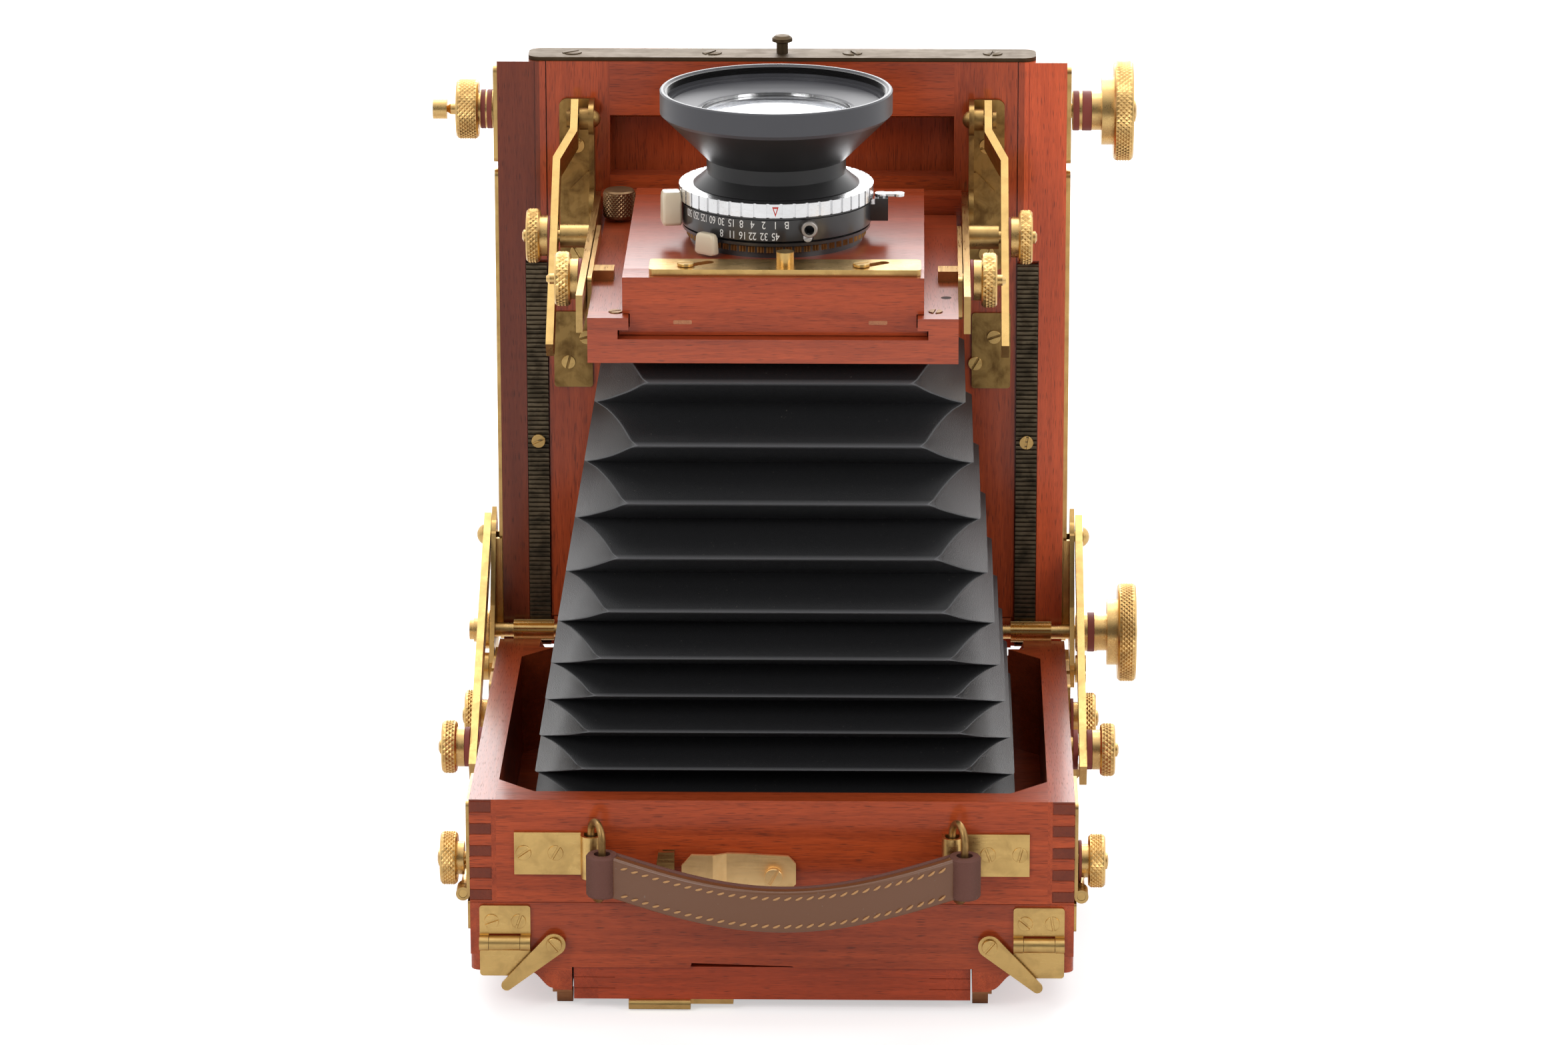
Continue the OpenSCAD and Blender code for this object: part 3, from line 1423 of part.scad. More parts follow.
rear_frame();
back_panel();
side_rails();
back_clips();
rear_fittings();
clasp_leaf_left();
clasp_leaf_right();
turn_lever_left();
turn_lever_right();
glass_frame();
ground_glass();
pull_tab();
case();
case_fittings();
side_plates_right();
side_plates_left();
swing_knob_left();
swing_knob_right();
far_knob_left();
far_knob_right();
handle_rings();
handle_strap();
latch();
carriage_plates();
rear_pinion();
brace_left();
brace_right();
brace_knob_left();
brace_knob_right();
bed();
bed_fittings();
rear_racks();
sliding_frame();
end_strip();
front_racks();
bed_brackets();
front_pinion();
lock_knob();
arms();
crossbar();
strut_left();
strut_right();
upper_knob_left();
upper_knob_right();
lens_frame();
frame_plates();
lower_knob_left();
lower_knob_right();
rise_knob();
lens_carrier();
lens_board();
board_lock();
shutter_body();
speed_ring();
aperture_lever();
cocking_lever();
release_lever();
lens_cells();
lens_glass();
bellows();
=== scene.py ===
# %% [markdown]
# # A wooden folding field camera, lying on its back
#
# The CAD parts give every place and size. This script gives them wood, brass, leather and
# enamel, replaces the soft and the finest parts with richer meshes, and lights the scene.
# Lengths are written in millimetres in the scene's frame and turned into metres by one helper.

# %% Load the frame
"""Looks of the folding field camera, built round its CAD parts."""

import bpy
import numpy as np
from mathutils import Matrix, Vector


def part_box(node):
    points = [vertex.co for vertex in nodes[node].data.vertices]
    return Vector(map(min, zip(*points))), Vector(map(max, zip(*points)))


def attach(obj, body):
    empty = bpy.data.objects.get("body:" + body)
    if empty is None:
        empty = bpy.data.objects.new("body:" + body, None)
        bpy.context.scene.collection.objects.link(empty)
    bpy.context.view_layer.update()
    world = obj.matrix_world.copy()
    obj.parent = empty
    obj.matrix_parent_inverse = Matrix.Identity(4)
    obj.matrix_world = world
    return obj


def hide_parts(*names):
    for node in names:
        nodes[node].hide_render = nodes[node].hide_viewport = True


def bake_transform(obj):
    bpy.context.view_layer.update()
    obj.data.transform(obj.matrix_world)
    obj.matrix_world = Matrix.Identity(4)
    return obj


MM = 0.001
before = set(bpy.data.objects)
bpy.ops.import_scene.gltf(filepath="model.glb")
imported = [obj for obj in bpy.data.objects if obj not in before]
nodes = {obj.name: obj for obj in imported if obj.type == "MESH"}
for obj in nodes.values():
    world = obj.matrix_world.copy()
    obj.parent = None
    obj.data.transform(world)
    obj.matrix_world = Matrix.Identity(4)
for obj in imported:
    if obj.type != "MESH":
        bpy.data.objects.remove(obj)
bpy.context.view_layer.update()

# %% [markdown]
# ## The camera
#
# The view is that of a long lens, a little above the object. Three Euler angles would turn the
# camera as well, but here its right, up and forward directions are worked out from the yaw, the
# pitch below the horizon and a small roll, so each can be read off. They are the columns of its
# matrix. Blender's cameras look along their own -Z, so the third column is forward turned round.

# %% Place the camera
CAMERA_AT = (0.040877, -2.04066, 0.72423)  # metres
LENS_LENGTH, FILM_WIDTH = 159.77, 36.0
yaw, pitch, roll = np.radians([-1.08601, 16.2734, -0.07024])
forward = np.array([np.sin(yaw) * np.cos(pitch), np.cos(yaw) * np.cos(pitch), -np.sin(pitch)])
level = np.array([np.cos(yaw), -np.sin(yaw), 0.0])
raised = np.cross(level, forward)
right = level * np.cos(roll) + raised * np.sin(roll)
up = raised * np.cos(roll) - level * np.sin(roll)

camera_data = bpy.data.cameras.new("view")
camera = bpy.data.objects.new("view", camera_data)
bpy.context.scene.collection.objects.link(camera)
camera_data.sensor_width = FILM_WIDTH
camera_data.lens = LENS_LENGTH
camera_data.clip_start, camera_data.clip_end = 0.1, 60.0
columns = (right, up, -forward, CAMERA_AT)
camera.matrix_world = Matrix([[c[i] for c in columns] for i in range(3)] + [[0, 0, 0, 1]])
bpy.context.scene.camera = camera
print("camera at", [round(v, 3) for v in camera.matrix_world.translation])

# %% [markdown]
# ## Shapes from arrays
#
# A shape is a pair: an array of corner points in millimetres and a list of faces. Blender's own
# primitives and edit tools could make most of them, but a shape that is still an array can be
# bent, turned, repeated and joined before any object exists.
#
# `grid_faces` joins rows of points into quads. `lathe` turns a profile of radius and height
# round an axis. `loft` stacks outlines. `stack` merges shapes, and `piece` makes the object.

# %% Shape helpers
def grid_faces(rows, cols, wrap_rows=False):
    """Quads between rows of points. Point c of row r joins c + 1 and row r + 1; each row is closed."""
    r = np.arange(rows if wrap_rows else rows - 1)[:, None]
    c = np.arange(cols)[None, :]
    nr, nc = (r + 1) % rows, (c + 1) % cols
    q = np.stack(np.broadcast_arrays(r * cols + c, r * cols + nc, nr * cols + nc, nr * cols + c), -1)
    return q.reshape(-1, 4).tolist()


WAYS = {
    "z": np.eye(3),
    "-z": np.array([[1, 0, 0], [0, -1, 0], [0, 0, -1.0]]),
    "x": np.array([[0, 1, 0], [0, 0, 1], [1, 0, 0.0]]),
    "-x": np.array([[0, -1, 0], [0, 0, 1], [-1, 0, 0.0]]),
    "y": np.array([[-1, 0, 0], [0, 0, 1], [0, 1, 0.0]]),
    "-y": np.array([[1, 0, 0], [0, 0, 1], [0, -1, 0.0]]),
}


def place(points, origin, way="z", turn=0.0):
    """Points as side, side, height, turned in their plane by some degrees, then pointed along an axis."""
    a = np.radians(turn)
    spin = np.array([[np.cos(a), np.sin(a), 0], [-np.sin(a), np.cos(a), 0], [0, 0, 1]])
    return points @ spin @ WAYS[way] + np.array(origin, float)


def loft(outlines, origin=(0, 0, 0), way="z", turn=0.0, loop=False):
    """A closed solid through outlines of equal count: straight lines from point to like point.

    A loop joins the last outline to the first; otherwise both ends get a flat cap."""
    rows = np.array(outlines, float)
    m, n = rows.shape[:2]
    faces = grid_faces(m, n, loop)
    if not loop:
        faces += [list(range(n))[::-1], list(range((m - 1) * n, m * n))]
    return place(rows.reshape(-1, 3), origin, way, turn), faces


def lathe(profile, origin, way="z", n=48, loop=False):
    """Profile turned round an axis: side = radius times cosine and sine, height stays.

    A loop climbs outside and returns inside, which makes a ring."""
    p = np.array(profile, float)
    a = np.arange(n) * 2 * np.pi / n
    ring = np.stack([np.cos(a), np.sin(a)], -1)
    rows = np.concatenate([p[:, None, :1] * ring[None], np.repeat(p[:, 1:, None], n, 1)], -1)
    return loft(rows, origin, way, 0.0, loop)


def slab(outline, h0, h1, origin=(0, 0, 0), way="z", turn=0.0, bevel=0.0):
    """A flat outline given height, its upper edge drawn in by the bevel."""
    o = np.array(outline, float)
    mid = o.mean(0)
    size = np.abs(o - mid).max()
    inner = mid + (o - mid) * (1 - bevel / size)
    rows = [(o, h0), (o, h1 - bevel), (inner, h1)] if bevel else [(o, h0), (o, h1)]
    return loft([np.c_[p, np.full(len(p), h)] for p, h in rows], origin, way, turn)


def rounded(w, h, r, n=5):
    """Outline of a rectangle with round corners: four quarter circles of radius r, turning left."""
    a = np.linspace(0, np.pi / 2, n)
    arc = np.c_[np.cos(a), np.sin(a)] * r
    spins = [np.array([[np.cos(k), np.sin(k)], [-np.sin(k), np.cos(k)]]) for k in np.arange(4) * np.pi / 2]
    mids = np.array([[1, 1], [-1, 1], [-1, -1], [1, -1]]) * [w / 2 - r, h / 2 - r]
    return np.concatenate([arc @ s + m for s, m in zip(spins, mids)])


def stack(*shapes):
    """Several shapes as one."""
    points, faces, start = [], [], 0
    for p, f in shapes:
        points.append(p)
        faces += [[i + start for i in face] for face in f]
        start += len(p)
    return np.concatenate(points), faces


made = []


def piece(name, shape, body, material, crease=35):
    """An object from a shape, smooth but for edges sharper than the crease, that moves with a body."""
    points, faces = shape
    mesh = bpy.data.meshes.new(name)
    mesh.from_pydata((points * MM).tolist(), [], faces)
    mesh.polygons.foreach_set("use_smooth", np.ones(len(faces), bool))
    mesh.set_sharp_from_angle(angle=np.radians(crease))
    mesh.materials.append(material)
    obj = bpy.data.objects.new(name, mesh)
    bpy.context.scene.collection.objects.link(obj)
    if body:
        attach(obj, body)
    made.append(name)
    return obj


print("shape helpers ready")

# %% [markdown]
# ## Shader groups
#
# The same nodes could be built again in every material, but a group is changed in one place.
# Each takes a place in millimetres and puts out colours or values only. The Principled
# shader stays in the material. `wood_grain` mixes broad ribbons, fibres and short dark pores.
# `metal_wear` gives brushed streaks and soft tarnish. `hide_grain` gives leather pebbles.

# %% Node helpers
def add(tree, kind, settings=None, **values):
    """A node with its settings and the values or links of its inputs, by input name or number."""
    n = tree.nodes.new(kind)
    for k, v in (settings or {}).items():
        setattr(n, k, v)
    for k, v in values.items():
        put(tree, n.inputs[int(k[1:]) if k[0] == "i" and k[1:].isdigit() else k.replace("_", " ")], v)
    return n


def put(tree, socket, value):
    """A link if the value is a socket, otherwise the plain value on the socket itself."""
    if isinstance(value, bpy.types.NodeSocket):
        tree.links.new(value, socket)
    else:
        socket.default_value = value


def math(tree, op, a, b=0.0, c=0.0):
    """The result of one sum, product or comparison."""
    return add(tree, "ShaderNodeMath", {"operation": op}, i0=a, i1=b, i2=c).outputs[0]


def blend_colour(tree, t, a, b, way="MIX"):
    """Colour a where t is 0 and a blended with b where t is 1."""
    n = tree.nodes.new("ShaderNodeMix")
    n.data_type, n.blend_type = "RGBA", way
    for i, v in ((0, t), (6, a), (7, b)):
        put(tree, n.inputs[i], v)
    return n.outputs[2]


def ramp(tree, value, low, high, to_low=0.0, to_high=1.0):
    """The value rescaled from one range to another, held at its ends."""
    n = add(tree, "ShaderNodeMapRange", {"clamp": True}, Value=value)
    for i, v in zip((1, 2, 3, 4), (low, high, to_low, to_high)):
        n.inputs[i].default_value = v
    return n.outputs[0]


def group(name, takes, gives):
    """An empty node group with its named inputs and outputs."""
    g = bpy.data.node_groups.new(name, "ShaderNodeTree")
    for side, names in (("INPUT", takes), ("OUTPUT", gives)):
        for label, kind in names:
            g.interface.new_socket(label, in_out=side, socket_type="NodeSocket" + kind)
    return g, g.nodes.new("NodeGroupInput").outputs, g.nodes.new("NodeGroupOutput").inputs


def noise(tree, where, scale, detail=2.0, rough=0.5, twist=0.0):
    """A soft random value; the scale counts its cells per millimetre."""
    return add(tree, "ShaderNodeTexNoise", None, Vector=where, Scale=scale, Detail=detail,
               Roughness=rough, Distortion=twist).outputs["Fac"]


print("node helpers ready")

# %% [markdown]
# Grain, wear and leather pebbles show on many materials, so each is one group that is placed
# with other values every time. Noise that is stretched by the squeezed places makes the fibres,
# and a narrow window on a second noise makes the pores.

# %% Grain, wear and pebble groups
wood_grain, src, out = group(
    "wood_grain", [("Place", "Vector"), ("Pale", "Color"), ("Dark", "Color")],
    [("Colour", "Color"), ("Height", "Float"), ("Pores", "Float")])
broad = noise(wood_grain, src["Place"], 0.14, 3.0, 0.55, 0.4)
band = noise(wood_grain, src["Place"], 0.9, 2.0, 0.5, 0.2)
fibre = noise(wood_grain, src["Place"], 4.5, 3.0, 0.6)
pore = ramp(wood_grain, noise(wood_grain, src["Place"], 4.8, 0.5, 0.4), 0.62, 0.72)
tone = math(wood_grain, "ADD", math(wood_grain, "MULTIPLY", broad, 0.6),
            math(wood_grain, "ADD", math(wood_grain, "MULTIPLY", band, 0.35),
                 math(wood_grain, "MULTIPLY", fibre, 0.45)))
colour = blend_colour(wood_grain, ramp(wood_grain, tone, 0.46, 0.90), src["Dark"], src["Pale"])
colour = blend_colour(wood_grain, math(wood_grain, "MULTIPLY", pore, 0.5), colour, (0.05, 0.012, 0.006, 1))
put(wood_grain, out["Colour"], colour)
put(wood_grain, out["Height"], math(wood_grain, "SUBTRACT", math(wood_grain, "MULTIPLY", fibre, 0.5), pore))
put(wood_grain, out["Pores"], pore)

metal_wear, src, out = group(
    "metal_wear", [("Place", "Vector")], [("Streak", "Float"), ("Tarnish", "Float"), ("Height", "Float")])
streak = noise(metal_wear, src["Place"], 2.2, 3.0, 0.6)
put(metal_wear, out["Streak"], ramp(metal_wear, streak, 0.35, 0.65))
blot = noise(metal_wear, src["Place"], 0.16, 4.0, 0.6, 0.5)
put(metal_wear, out["Tarnish"], ramp(metal_wear, blot, 0.42, 0.68))
put(metal_wear, out["Height"], streak)

hide_grain, src, out = group("hide_grain", [("Place", "Vector")], [("Pebble", "Float"), ("Fleck", "Float")])
pebble = add(hide_grain, "ShaderNodeTexVoronoi", None, Vector=src["Place"], Scale=1.9).outputs["Distance"]
put(hide_grain, out["Pebble"], math(hide_grain, "ADD", pebble, noise(hide_grain, src["Place"], 3.0, 3.0)))
put(hide_grain, out["Fleck"], ramp(hide_grain, noise(hide_grain, src["Place"], 0.9, 1.0), 0.76, 0.79))
print("groups:", [g.name for g in bpy.data.node_groups])

# %% [markdown]
# ## Wood
#
# The boards are varnished mahogany with fine fibres and short dark pores. A photograph of wood
# would need a flat map of every board and would blur up close, so the grain is worked out in
# space. Fibres run along one axis, so places are squeezed along it before they reach the grain
# group. Where a part is built of boards that run two ways, a mask on one coordinate picks the way.

# %% Wood materials
def material(name):
    """A new material, its node tree and its Principled shader."""
    m = bpy.data.materials.new(name)
    m.use_nodes = True
    return m, m.node_tree, m.node_tree.nodes["Principled BSDF"]


def where_mm(tree, squeeze=(1, 1, 1), shift=(0, 0, 0)):
    """The object's coordinates in millimetres, squeezed along each axis."""
    at = add(tree, "ShaderNodeTexCoord").outputs["Object"]
    big = add(tree, "ShaderNodeVectorMath", {"operation": "MULTIPLY_ADD"}, i0=at,
              i1=[1000 * s for s in squeeze], i2=shift)
    return big.outputs[0]


def coordinate(tree, axis):
    """One coordinate of the object in millimetres."""
    at = add(tree, "ShaderNodeSeparateXYZ", None, i0=where_mm(tree))
    return at.outputs["XYZ".index(axis)]


def beyond(tree, axis, limit, middle=0.0):
    """1 where a coordinate is further from the middle than a limit."""
    away = math(tree, "ABSOLUTE", math(tree, "ADD", coordinate(tree, axis), -middle))
    return math(tree, "GREATER_THAN", away, limit)


ALONG = {"X": (0.05, 1, 1), "Y": (1, 0.05, 1), "Z": (1, 1, 0.05)}
PALE, DARK = (0.50, 0.078, 0.019, 1), (0.23, 0.030, 0.007, 1)
END_GRAIN = (0.085, 0.017, 0.008, 1)
FINGER_TOP, FINGER_PITCH, FINGER_WIDE = 66.1, 6.9, 3.6
STILE, STILE_BACK = 76.0, 100.0


def wood(name, way, other=None, axis="X", limit=82.0, shift=(0, 0, 0), pale=PALE, dark=DARK,
         fingers=False, painted_side_light=False, gloss=0.34, coat=0.6, soft_coat=0.15):
    """Varnished wood whose grain runs one way, or the other way beyond a limit on an axis.

    fingers adds the corner joints of the case, and the stile flag paints light on the right stile's near
    edge and shade on the left one, darkening the rest of the bed."""
    m, t, bsdf = material(name)
    place_at = where_mm(t, ALONG[way], shift)
    mask = None
    if other:
        mask = beyond(t, axis, limit)
    if fingers:
        # the corner joints: bands of one board's end grain on the faces of the other
        down = math(t, "SUBTRACT", FINGER_TOP, coordinate(t, "Z"))
        strip = math(t, "LESS_THAN", math(t, "MODULO", down, FINGER_PITCH), FINGER_WIDE)
        corner = math(t, "MULTIPLY", beyond(t, "X", 83.4), beyond(t, "Y", 74.0, -2.3))
        near = beyond(t, "Y", 80.55, -2.35)
        mask = math(t, "ADD", math(t, "MULTIPLY", corner, strip),
                    math(t, "MULTIPLY", math(t, "SUBTRACT", 1.0, corner), mask))
        same = math(t, "ABSOLUTE", math(t, "SUBTRACT", near, strip))
        ends = math(t, "MULTIPLY", corner, math(t, "SUBTRACT", 1.0, same))
    if mask is not None:
        n = t.nodes.new("ShaderNodeMix")
        n.data_type = "VECTOR"
        put(t, n.inputs[0], mask)
        put(t, n.inputs[4], place_at)
        put(t, n.inputs[5], where_mm(t, ALONG[other], (shift[0] + 40, shift[1] + 9, shift[2] + 3)))
        place_at = n.outputs[1]
    grain = add(t, "ShaderNodeGroup", {"node_tree": wood_grain}, Place=place_at, Pale=pale, Dark=dark)
    tint = grain.outputs["Colour"]
    if painted_side_light:
        # painted light and shade on the stiles' near edges: the right one keeps the bed's bright tone as
        # painted light, the rest of the bed is darkened, and the left one is darkened again as painted
        # shade
        x = coordinate(t, "X")
        edge = math(t, "LESS_THAN", coordinate(t, "Y"), STILE_BACK)
        left = math(t, "MULTIPLY", edge, math(t, "LESS_THAN", x, -STILE))
        right = math(t, "MULTIPLY", edge, math(t, "GREATER_THAN", x, STILE))
        tint = blend_colour(t, math(t, "SUBTRACT", 1.0, right), tint, (0.55, 0.56, 0.56, 1), "MULTIPLY")
        tint = blend_colour(t, left, tint, (0.47, 0.5, 0.5, 1), "MULTIPLY")
    if fingers:
        tint = blend_colour(t, math(t, "MULTIPLY", ends, 0.72), tint, END_GRAIN)
    put(t, bsdf.inputs["Base Color"], tint)
    put(t, bsdf.inputs["Roughness"], ramp(t, grain.outputs["Pores"], 0, 1, gloss, 0.6))
    put(t, bsdf.inputs["Specular IOR Level"], 0.15)
    put(t, bsdf.inputs["Coat Weight"], coat)
    put(t, bsdf.inputs["Coat Roughness"], soft_coat)
    bump = add(t, "ShaderNodeBump", None, Strength=0.16, Distance=0.0004, Height=grain.outputs["Height"])
    put(t, bsdf.inputs["Normal"], bump.outputs[0])
    return m


WOODS = {
    "case": wood("wood_case", "X", "Y", "X", 82.0, (0, 0, 0), fingers=True, coat=0.42),
    "rear_frame": wood("wood_rear_frame", "X", "Y", "X", 83.0, (31, 7, 12)),
    "back_panel": wood("wood_back_panel", "X", "Y", "X", 83.0, (5, 57, 2)),
    "side_rails": wood("wood_side_rails", "Y", shift=(3, 2, 8)),
    "glass_frame": wood("wood_glass_frame", "X", "Y", "X", 52.0, (11, 17, 22),
                        pale=(0.46, 0.06, 0.015, 1)),
    # the bed's bright pale tone stays only on the right stile's near edge, as painted light; elsewhere it
    # is darkened
    "bed": wood("wood_bed", "Z", shift=(9, 4, 1), pale=(0.88, 0.14, 0.04, 1),
                dark=(0.50, 0.065, 0.017, 1), painted_side_light=True),
    "sliding_frame": wood("wood_slide", "X", "Z", "X", 54.0, (2, 9, 31)),
    "crossbar": wood("wood_crossbar", "X", shift=(7, 5, 3)),
    "lens_frame": wood("wood_lens_frame", "Y", "X", "Y", 47.0, (8, 1, 5),
                       coat=1.0, soft_coat=0.3),
    "lens_carrier": wood("wood_carrier", "X", shift=(1, 21, 9)),
    "lens_board": wood("wood_board", "X", shift=(14, 3, 2), pale=(0.46, 0.07, 0.02, 1),
                       coat=1.0, soft_coat=0.3),
}
plug_wood = wood("wood_plug", "Y", shift=(4, 4, 4), pale=(0.55, 0.23, 0.10, 1),
                 dark=(0.30, 0.09, 0.035, 1))
print("woods:", len(WOODS) + 1)

# %% [markdown]
# ## Metals, leather, enamel and glass
#
# The fittings are brass, bright in some places and dull in others. One even colour would look
# like paint, and an image would repeat from plate to plate, so brass gets streaks along one axis
# and blots of tarnish, both from noise. Even finishes are plain values on the Principled
# sockets.

# %% Metals, enamel and glass
def metal(name, bright, dull, rough=0.26, way="X", tarnish=0.35, shift=(0, 0, 0), bump=0.04):
    """Brushed metal with tarnish that turns its bright colour into a dull one."""
    m, t, bsdf = material(name)
    g = add(t, "ShaderNodeGroup", {"node_tree": metal_wear}, Place=where_mm(t, ALONG[way], shift))
    blot = add(t, "ShaderNodeGroup", {"node_tree": metal_wear}, Place=where_mm(t, (1, 1, 1), shift))
    dirt = math(t, "MULTIPLY", blot.outputs["Tarnish"], tarnish)
    put(t, bsdf.inputs["Base Color"], blend_colour(t, dirt, bright, dull))
    put(t, bsdf.inputs["Metallic"], 1.0)
    put(t, bsdf.inputs["Roughness"],
        math(t, "ADD", math(t, "MULTIPLY", g.outputs["Streak"], 0.12),
             math(t, "MULTIPLY_ADD", dirt, 0.18, rough)))
    n = add(t, "ShaderNodeBump", None, Strength=bump, Distance=0.0003, Height=g.outputs["Height"])
    put(t, bsdf.inputs["Normal"], n.outputs[0])
    return m


def plain(name, colour, rough, metallic=0.0, coat=0.0, **more):
    """One even finish."""
    m, t, bsdf = material(name)
    more.update(Base_Color=colour, Roughness=rough, Metallic=metallic, Coat_Weight=coat)
    for k, v in more.items():
        put(t, bsdf.inputs[k.replace("_", " ")], v)
    return m


BRIGHT, DULL = (0.70, 0.46, 0.17, 1), (0.30, 0.17, 0.06, 1)
brass = metal("brass_plates", BRIGHT, DULL)
brass_up = metal("brass_upright", BRIGHT, DULL, way="Z", shift=(5, 5, 5))
brass_dull = metal("brass_dull", (0.42, 0.26, 0.09, 1), (0.18, 0.10, 0.035, 1),
                   rough=0.34, way="Z", tarnish=0.9)
brass_long = metal("brass_lengthwise", (0.60, 0.39, 0.15, 1), DULL, way="Y", shift=(2, 8, 5))
turned = metal("brass_turned", (0.76, 0.50, 0.20, 1), (0.50, 0.31, 0.12, 1),
               rough=0.24, way="Y", tarnish=0.25)
knurled = metal("brass_knurled", (0.80, 0.52, 0.20, 1), (0.32, 0.18, 0.06, 1),
                rough=0.3, way="Y", tarnish=0.6)
# the end strip's brass is painted far darker than the other brass, painted shade that dims the lamps
# mirrored in it
strip_brass_shaded = metal("brass_strip_shaded", (0.10, 0.07, 0.04, 1), (0.06, 0.04, 0.02, 1), rough=0.5)
browned = metal("brass_browned", (0.27, 0.165, 0.085, 1), (0.11, 0.06, 0.03, 1), rough=0.36)
# the latch's brass is painted brighter than the other brass, painted light on its face
latch_brass_lit = metal("brass_latch_lit", (0.98, 0.68, 0.32, 1), (0.6, 0.36, 0.14, 1), rough=0.44)
aged = metal("brass_aged", (0.40, 0.24, 0.09, 1), (0.16, 0.09, 0.035, 1), rough=0.34, tarnish=0.8)
toothed = metal("blackened_racks", (0.20, 0.155, 0.10, 1), (0.08, 0.065, 0.045, 1), rough=0.38, tarnish=0.9)
bronze = metal("bronze_clips", (0.42, 0.19, 0.09, 1), (0.2, 0.09, 0.045, 1), rough=0.4)
chrome = metal("satin_chrome", (0.86, 0.86, 0.87, 1), (0.7, 0.7, 0.7, 1),
               rough=0.14, tarnish=0.2, bump=0.03)
steel = metal("screw_steel", (0.5, 0.46, 0.42, 1), (0.2, 0.17, 0.15, 1), rough=0.35)
enamel = plain("black_enamel", (0.022, 0.021, 0.022, 1), 0.32, 0.0, 0.5, Coat_Roughness=0.15)
satin_black = plain("lens_black", (0.016, 0.0155, 0.016, 1), 0.36, Specular_IOR_Level=0.35)
# the rim is painted paler than the cone above this height, a painted sheen standing in for the light it
# reflects
RIM_START = 256.0  # the satin rim above this height is paler than the cone
lens_black, t, bsdf = material("lens_barrel")
put(t, bsdf.inputs["Base Color"],
    blend_colour(t, beyond(t, "Z", RIM_START), (0.016, 0.0155, 0.016, 1), (0.07, 0.07, 0.078, 1)))
put(t, bsdf.inputs["Roughness"], 0.36)
put(t, bsdf.inputs["Specular IOR Level"], 0.4)
cream = plain("cream_plastic", (0.76, 0.64, 0.46, 1), 0.35, 0.0, 0.3)
fibre_red = plain("washer_fibre", (0.26, 0.05, 0.035, 1), 0.6)
paint_white = plain("dial_white", (0.80, 0.80, 0.78, 1), 0.5)
paint_red = plain("dial_red", (0.55, 0.03, 0.02, 1), 0.5)
# a dark colour for the disc that paints the shade inside the lens frame's small hole
painted_hole_shade = plain("painted_hole_shade", (0.03, 0.012, 0.008, 1), 0.8)
ground = plain("ground_glass", (0.86, 0.88, 0.87, 1), 0.45, 0.0, Transmission_Weight=0.75, IOR=1.5)
coated = plain("coated_glass", (0.93, 0.95, 1.0, 1), 0.03, 0.0, Transmission_Weight=1.0, IOR=1.7)

print("metals and plain finishes:", len(bpy.data.materials) - len(WOODS) - 1)

# %% [markdown]
# The bellows are thin black cloth with a leather grain, and the strap is brown hide. The cloth
# is painted paler on the ridges and on the corners of its folds, partly wear where it rubs and
# partly painted highlight, and its sideways faces are painted paler as a painted sheen. A painted
# image could mark those places, but the folds are worked out anyway, so two attributes of the
# mesh mark them.

# %% Leather and thread
def leather(name, colour, edge, rough, bump, size=(1, 1, 1), worn_and_lit=False, coat=0.0):
    """Grained leather with a few pale flecks; faces that turn sideways take the second colour, which on the
    bellows is a paler painted sheen.
    """
    m, t, bsdf = material(name)
    g = add(t, "ShaderNodeGroup", {"node_tree": hide_grain}, Place=where_mm(t, size))
    normal = add(t, "ShaderNodeSeparateXYZ", None, i0=add(t, "ShaderNodeNewGeometry").outputs["Normal"])
    side = ramp(t, math(t, "ABSOLUTE", normal.outputs[0]), 0.35, 0.9)
    tint = blend_colour(t, side, colour, edge)
    if worn_and_lit:
        # ridges and fold corners painted paler: partly wear where the cloth rubs, partly painted highlight
        at = add(t, "ShaderNodeAttribute", {"attribute_name": "fold"}).outputs["Fac"]
        rim = add(t, "ShaderNodeAttribute", {"attribute_name": "corner"}).outputs["Fac"]
        ridge_wear_and_highlight = math(t, "ADD", ramp(t, at, 0.0, 0.11, 0.8, 0.0), ramp(t, rim, 0.35, 1.0, 0.0, 0.7))
        tint = blend_colour(t, ridge_wear_and_highlight, tint, (0.14, 0.14, 0.145, 1))
    put(t, bsdf.inputs["Base Color"],
        blend_colour(t, math(t, "MULTIPLY", g.outputs["Fleck"], 0.25), tint, (0.25, 0.23, 0.2, 1)))
    put(t, bsdf.inputs["Roughness"], math(t, "MULTIPLY_ADD", side, 0.12, rough))
    put(t, bsdf.inputs["Specular IOR Level"], 0.28 if worn_and_lit else 0.5)
    put(t, bsdf.inputs["Coat Weight"], coat)
    put(t, bsdf.inputs["Coat Roughness"], 0.25)
    n = add(t, "ShaderNodeBump", None, Distance=0.0002, Height=g.outputs["Pebble"])
    put(t, n.inputs["Strength"], math(t, "MULTIPLY_ADD", side, bump, bump * 0.6))
    put(t, bsdf.inputs["Normal"], n.outputs[0])
    return m


# the second colour is a painted sheen on the sideways faces of the folds
bellows_cloth = leather("bellows_cloth", (0.015, 0.015, 0.016, 1), (0.052, 0.05, 0.049, 1), 0.42, 0.6,
                        (1.6, 1.6, 1.6), worn_and_lit=True)
strap_face = leather("strap_face", (0.16, 0.062, 0.024, 1), (0.16, 0.062, 0.024, 1), 0.34, 0.12, coat=0.2)
strap_edge = leather("strap_edge", (0.13, 0.045, 0.03, 1), (0.12, 0.045, 0.03, 1), 0.7, 0.5)
thread = plain("waxed_thread", (0.50, 0.26, 0.10, 1), 0.6)

print("leathers ready")

# %% [markdown]
# Every rigid CAD part keeps its shape and only gets a finish. That could be a line of code for
# each part, but one table can be read and changed at a glance.

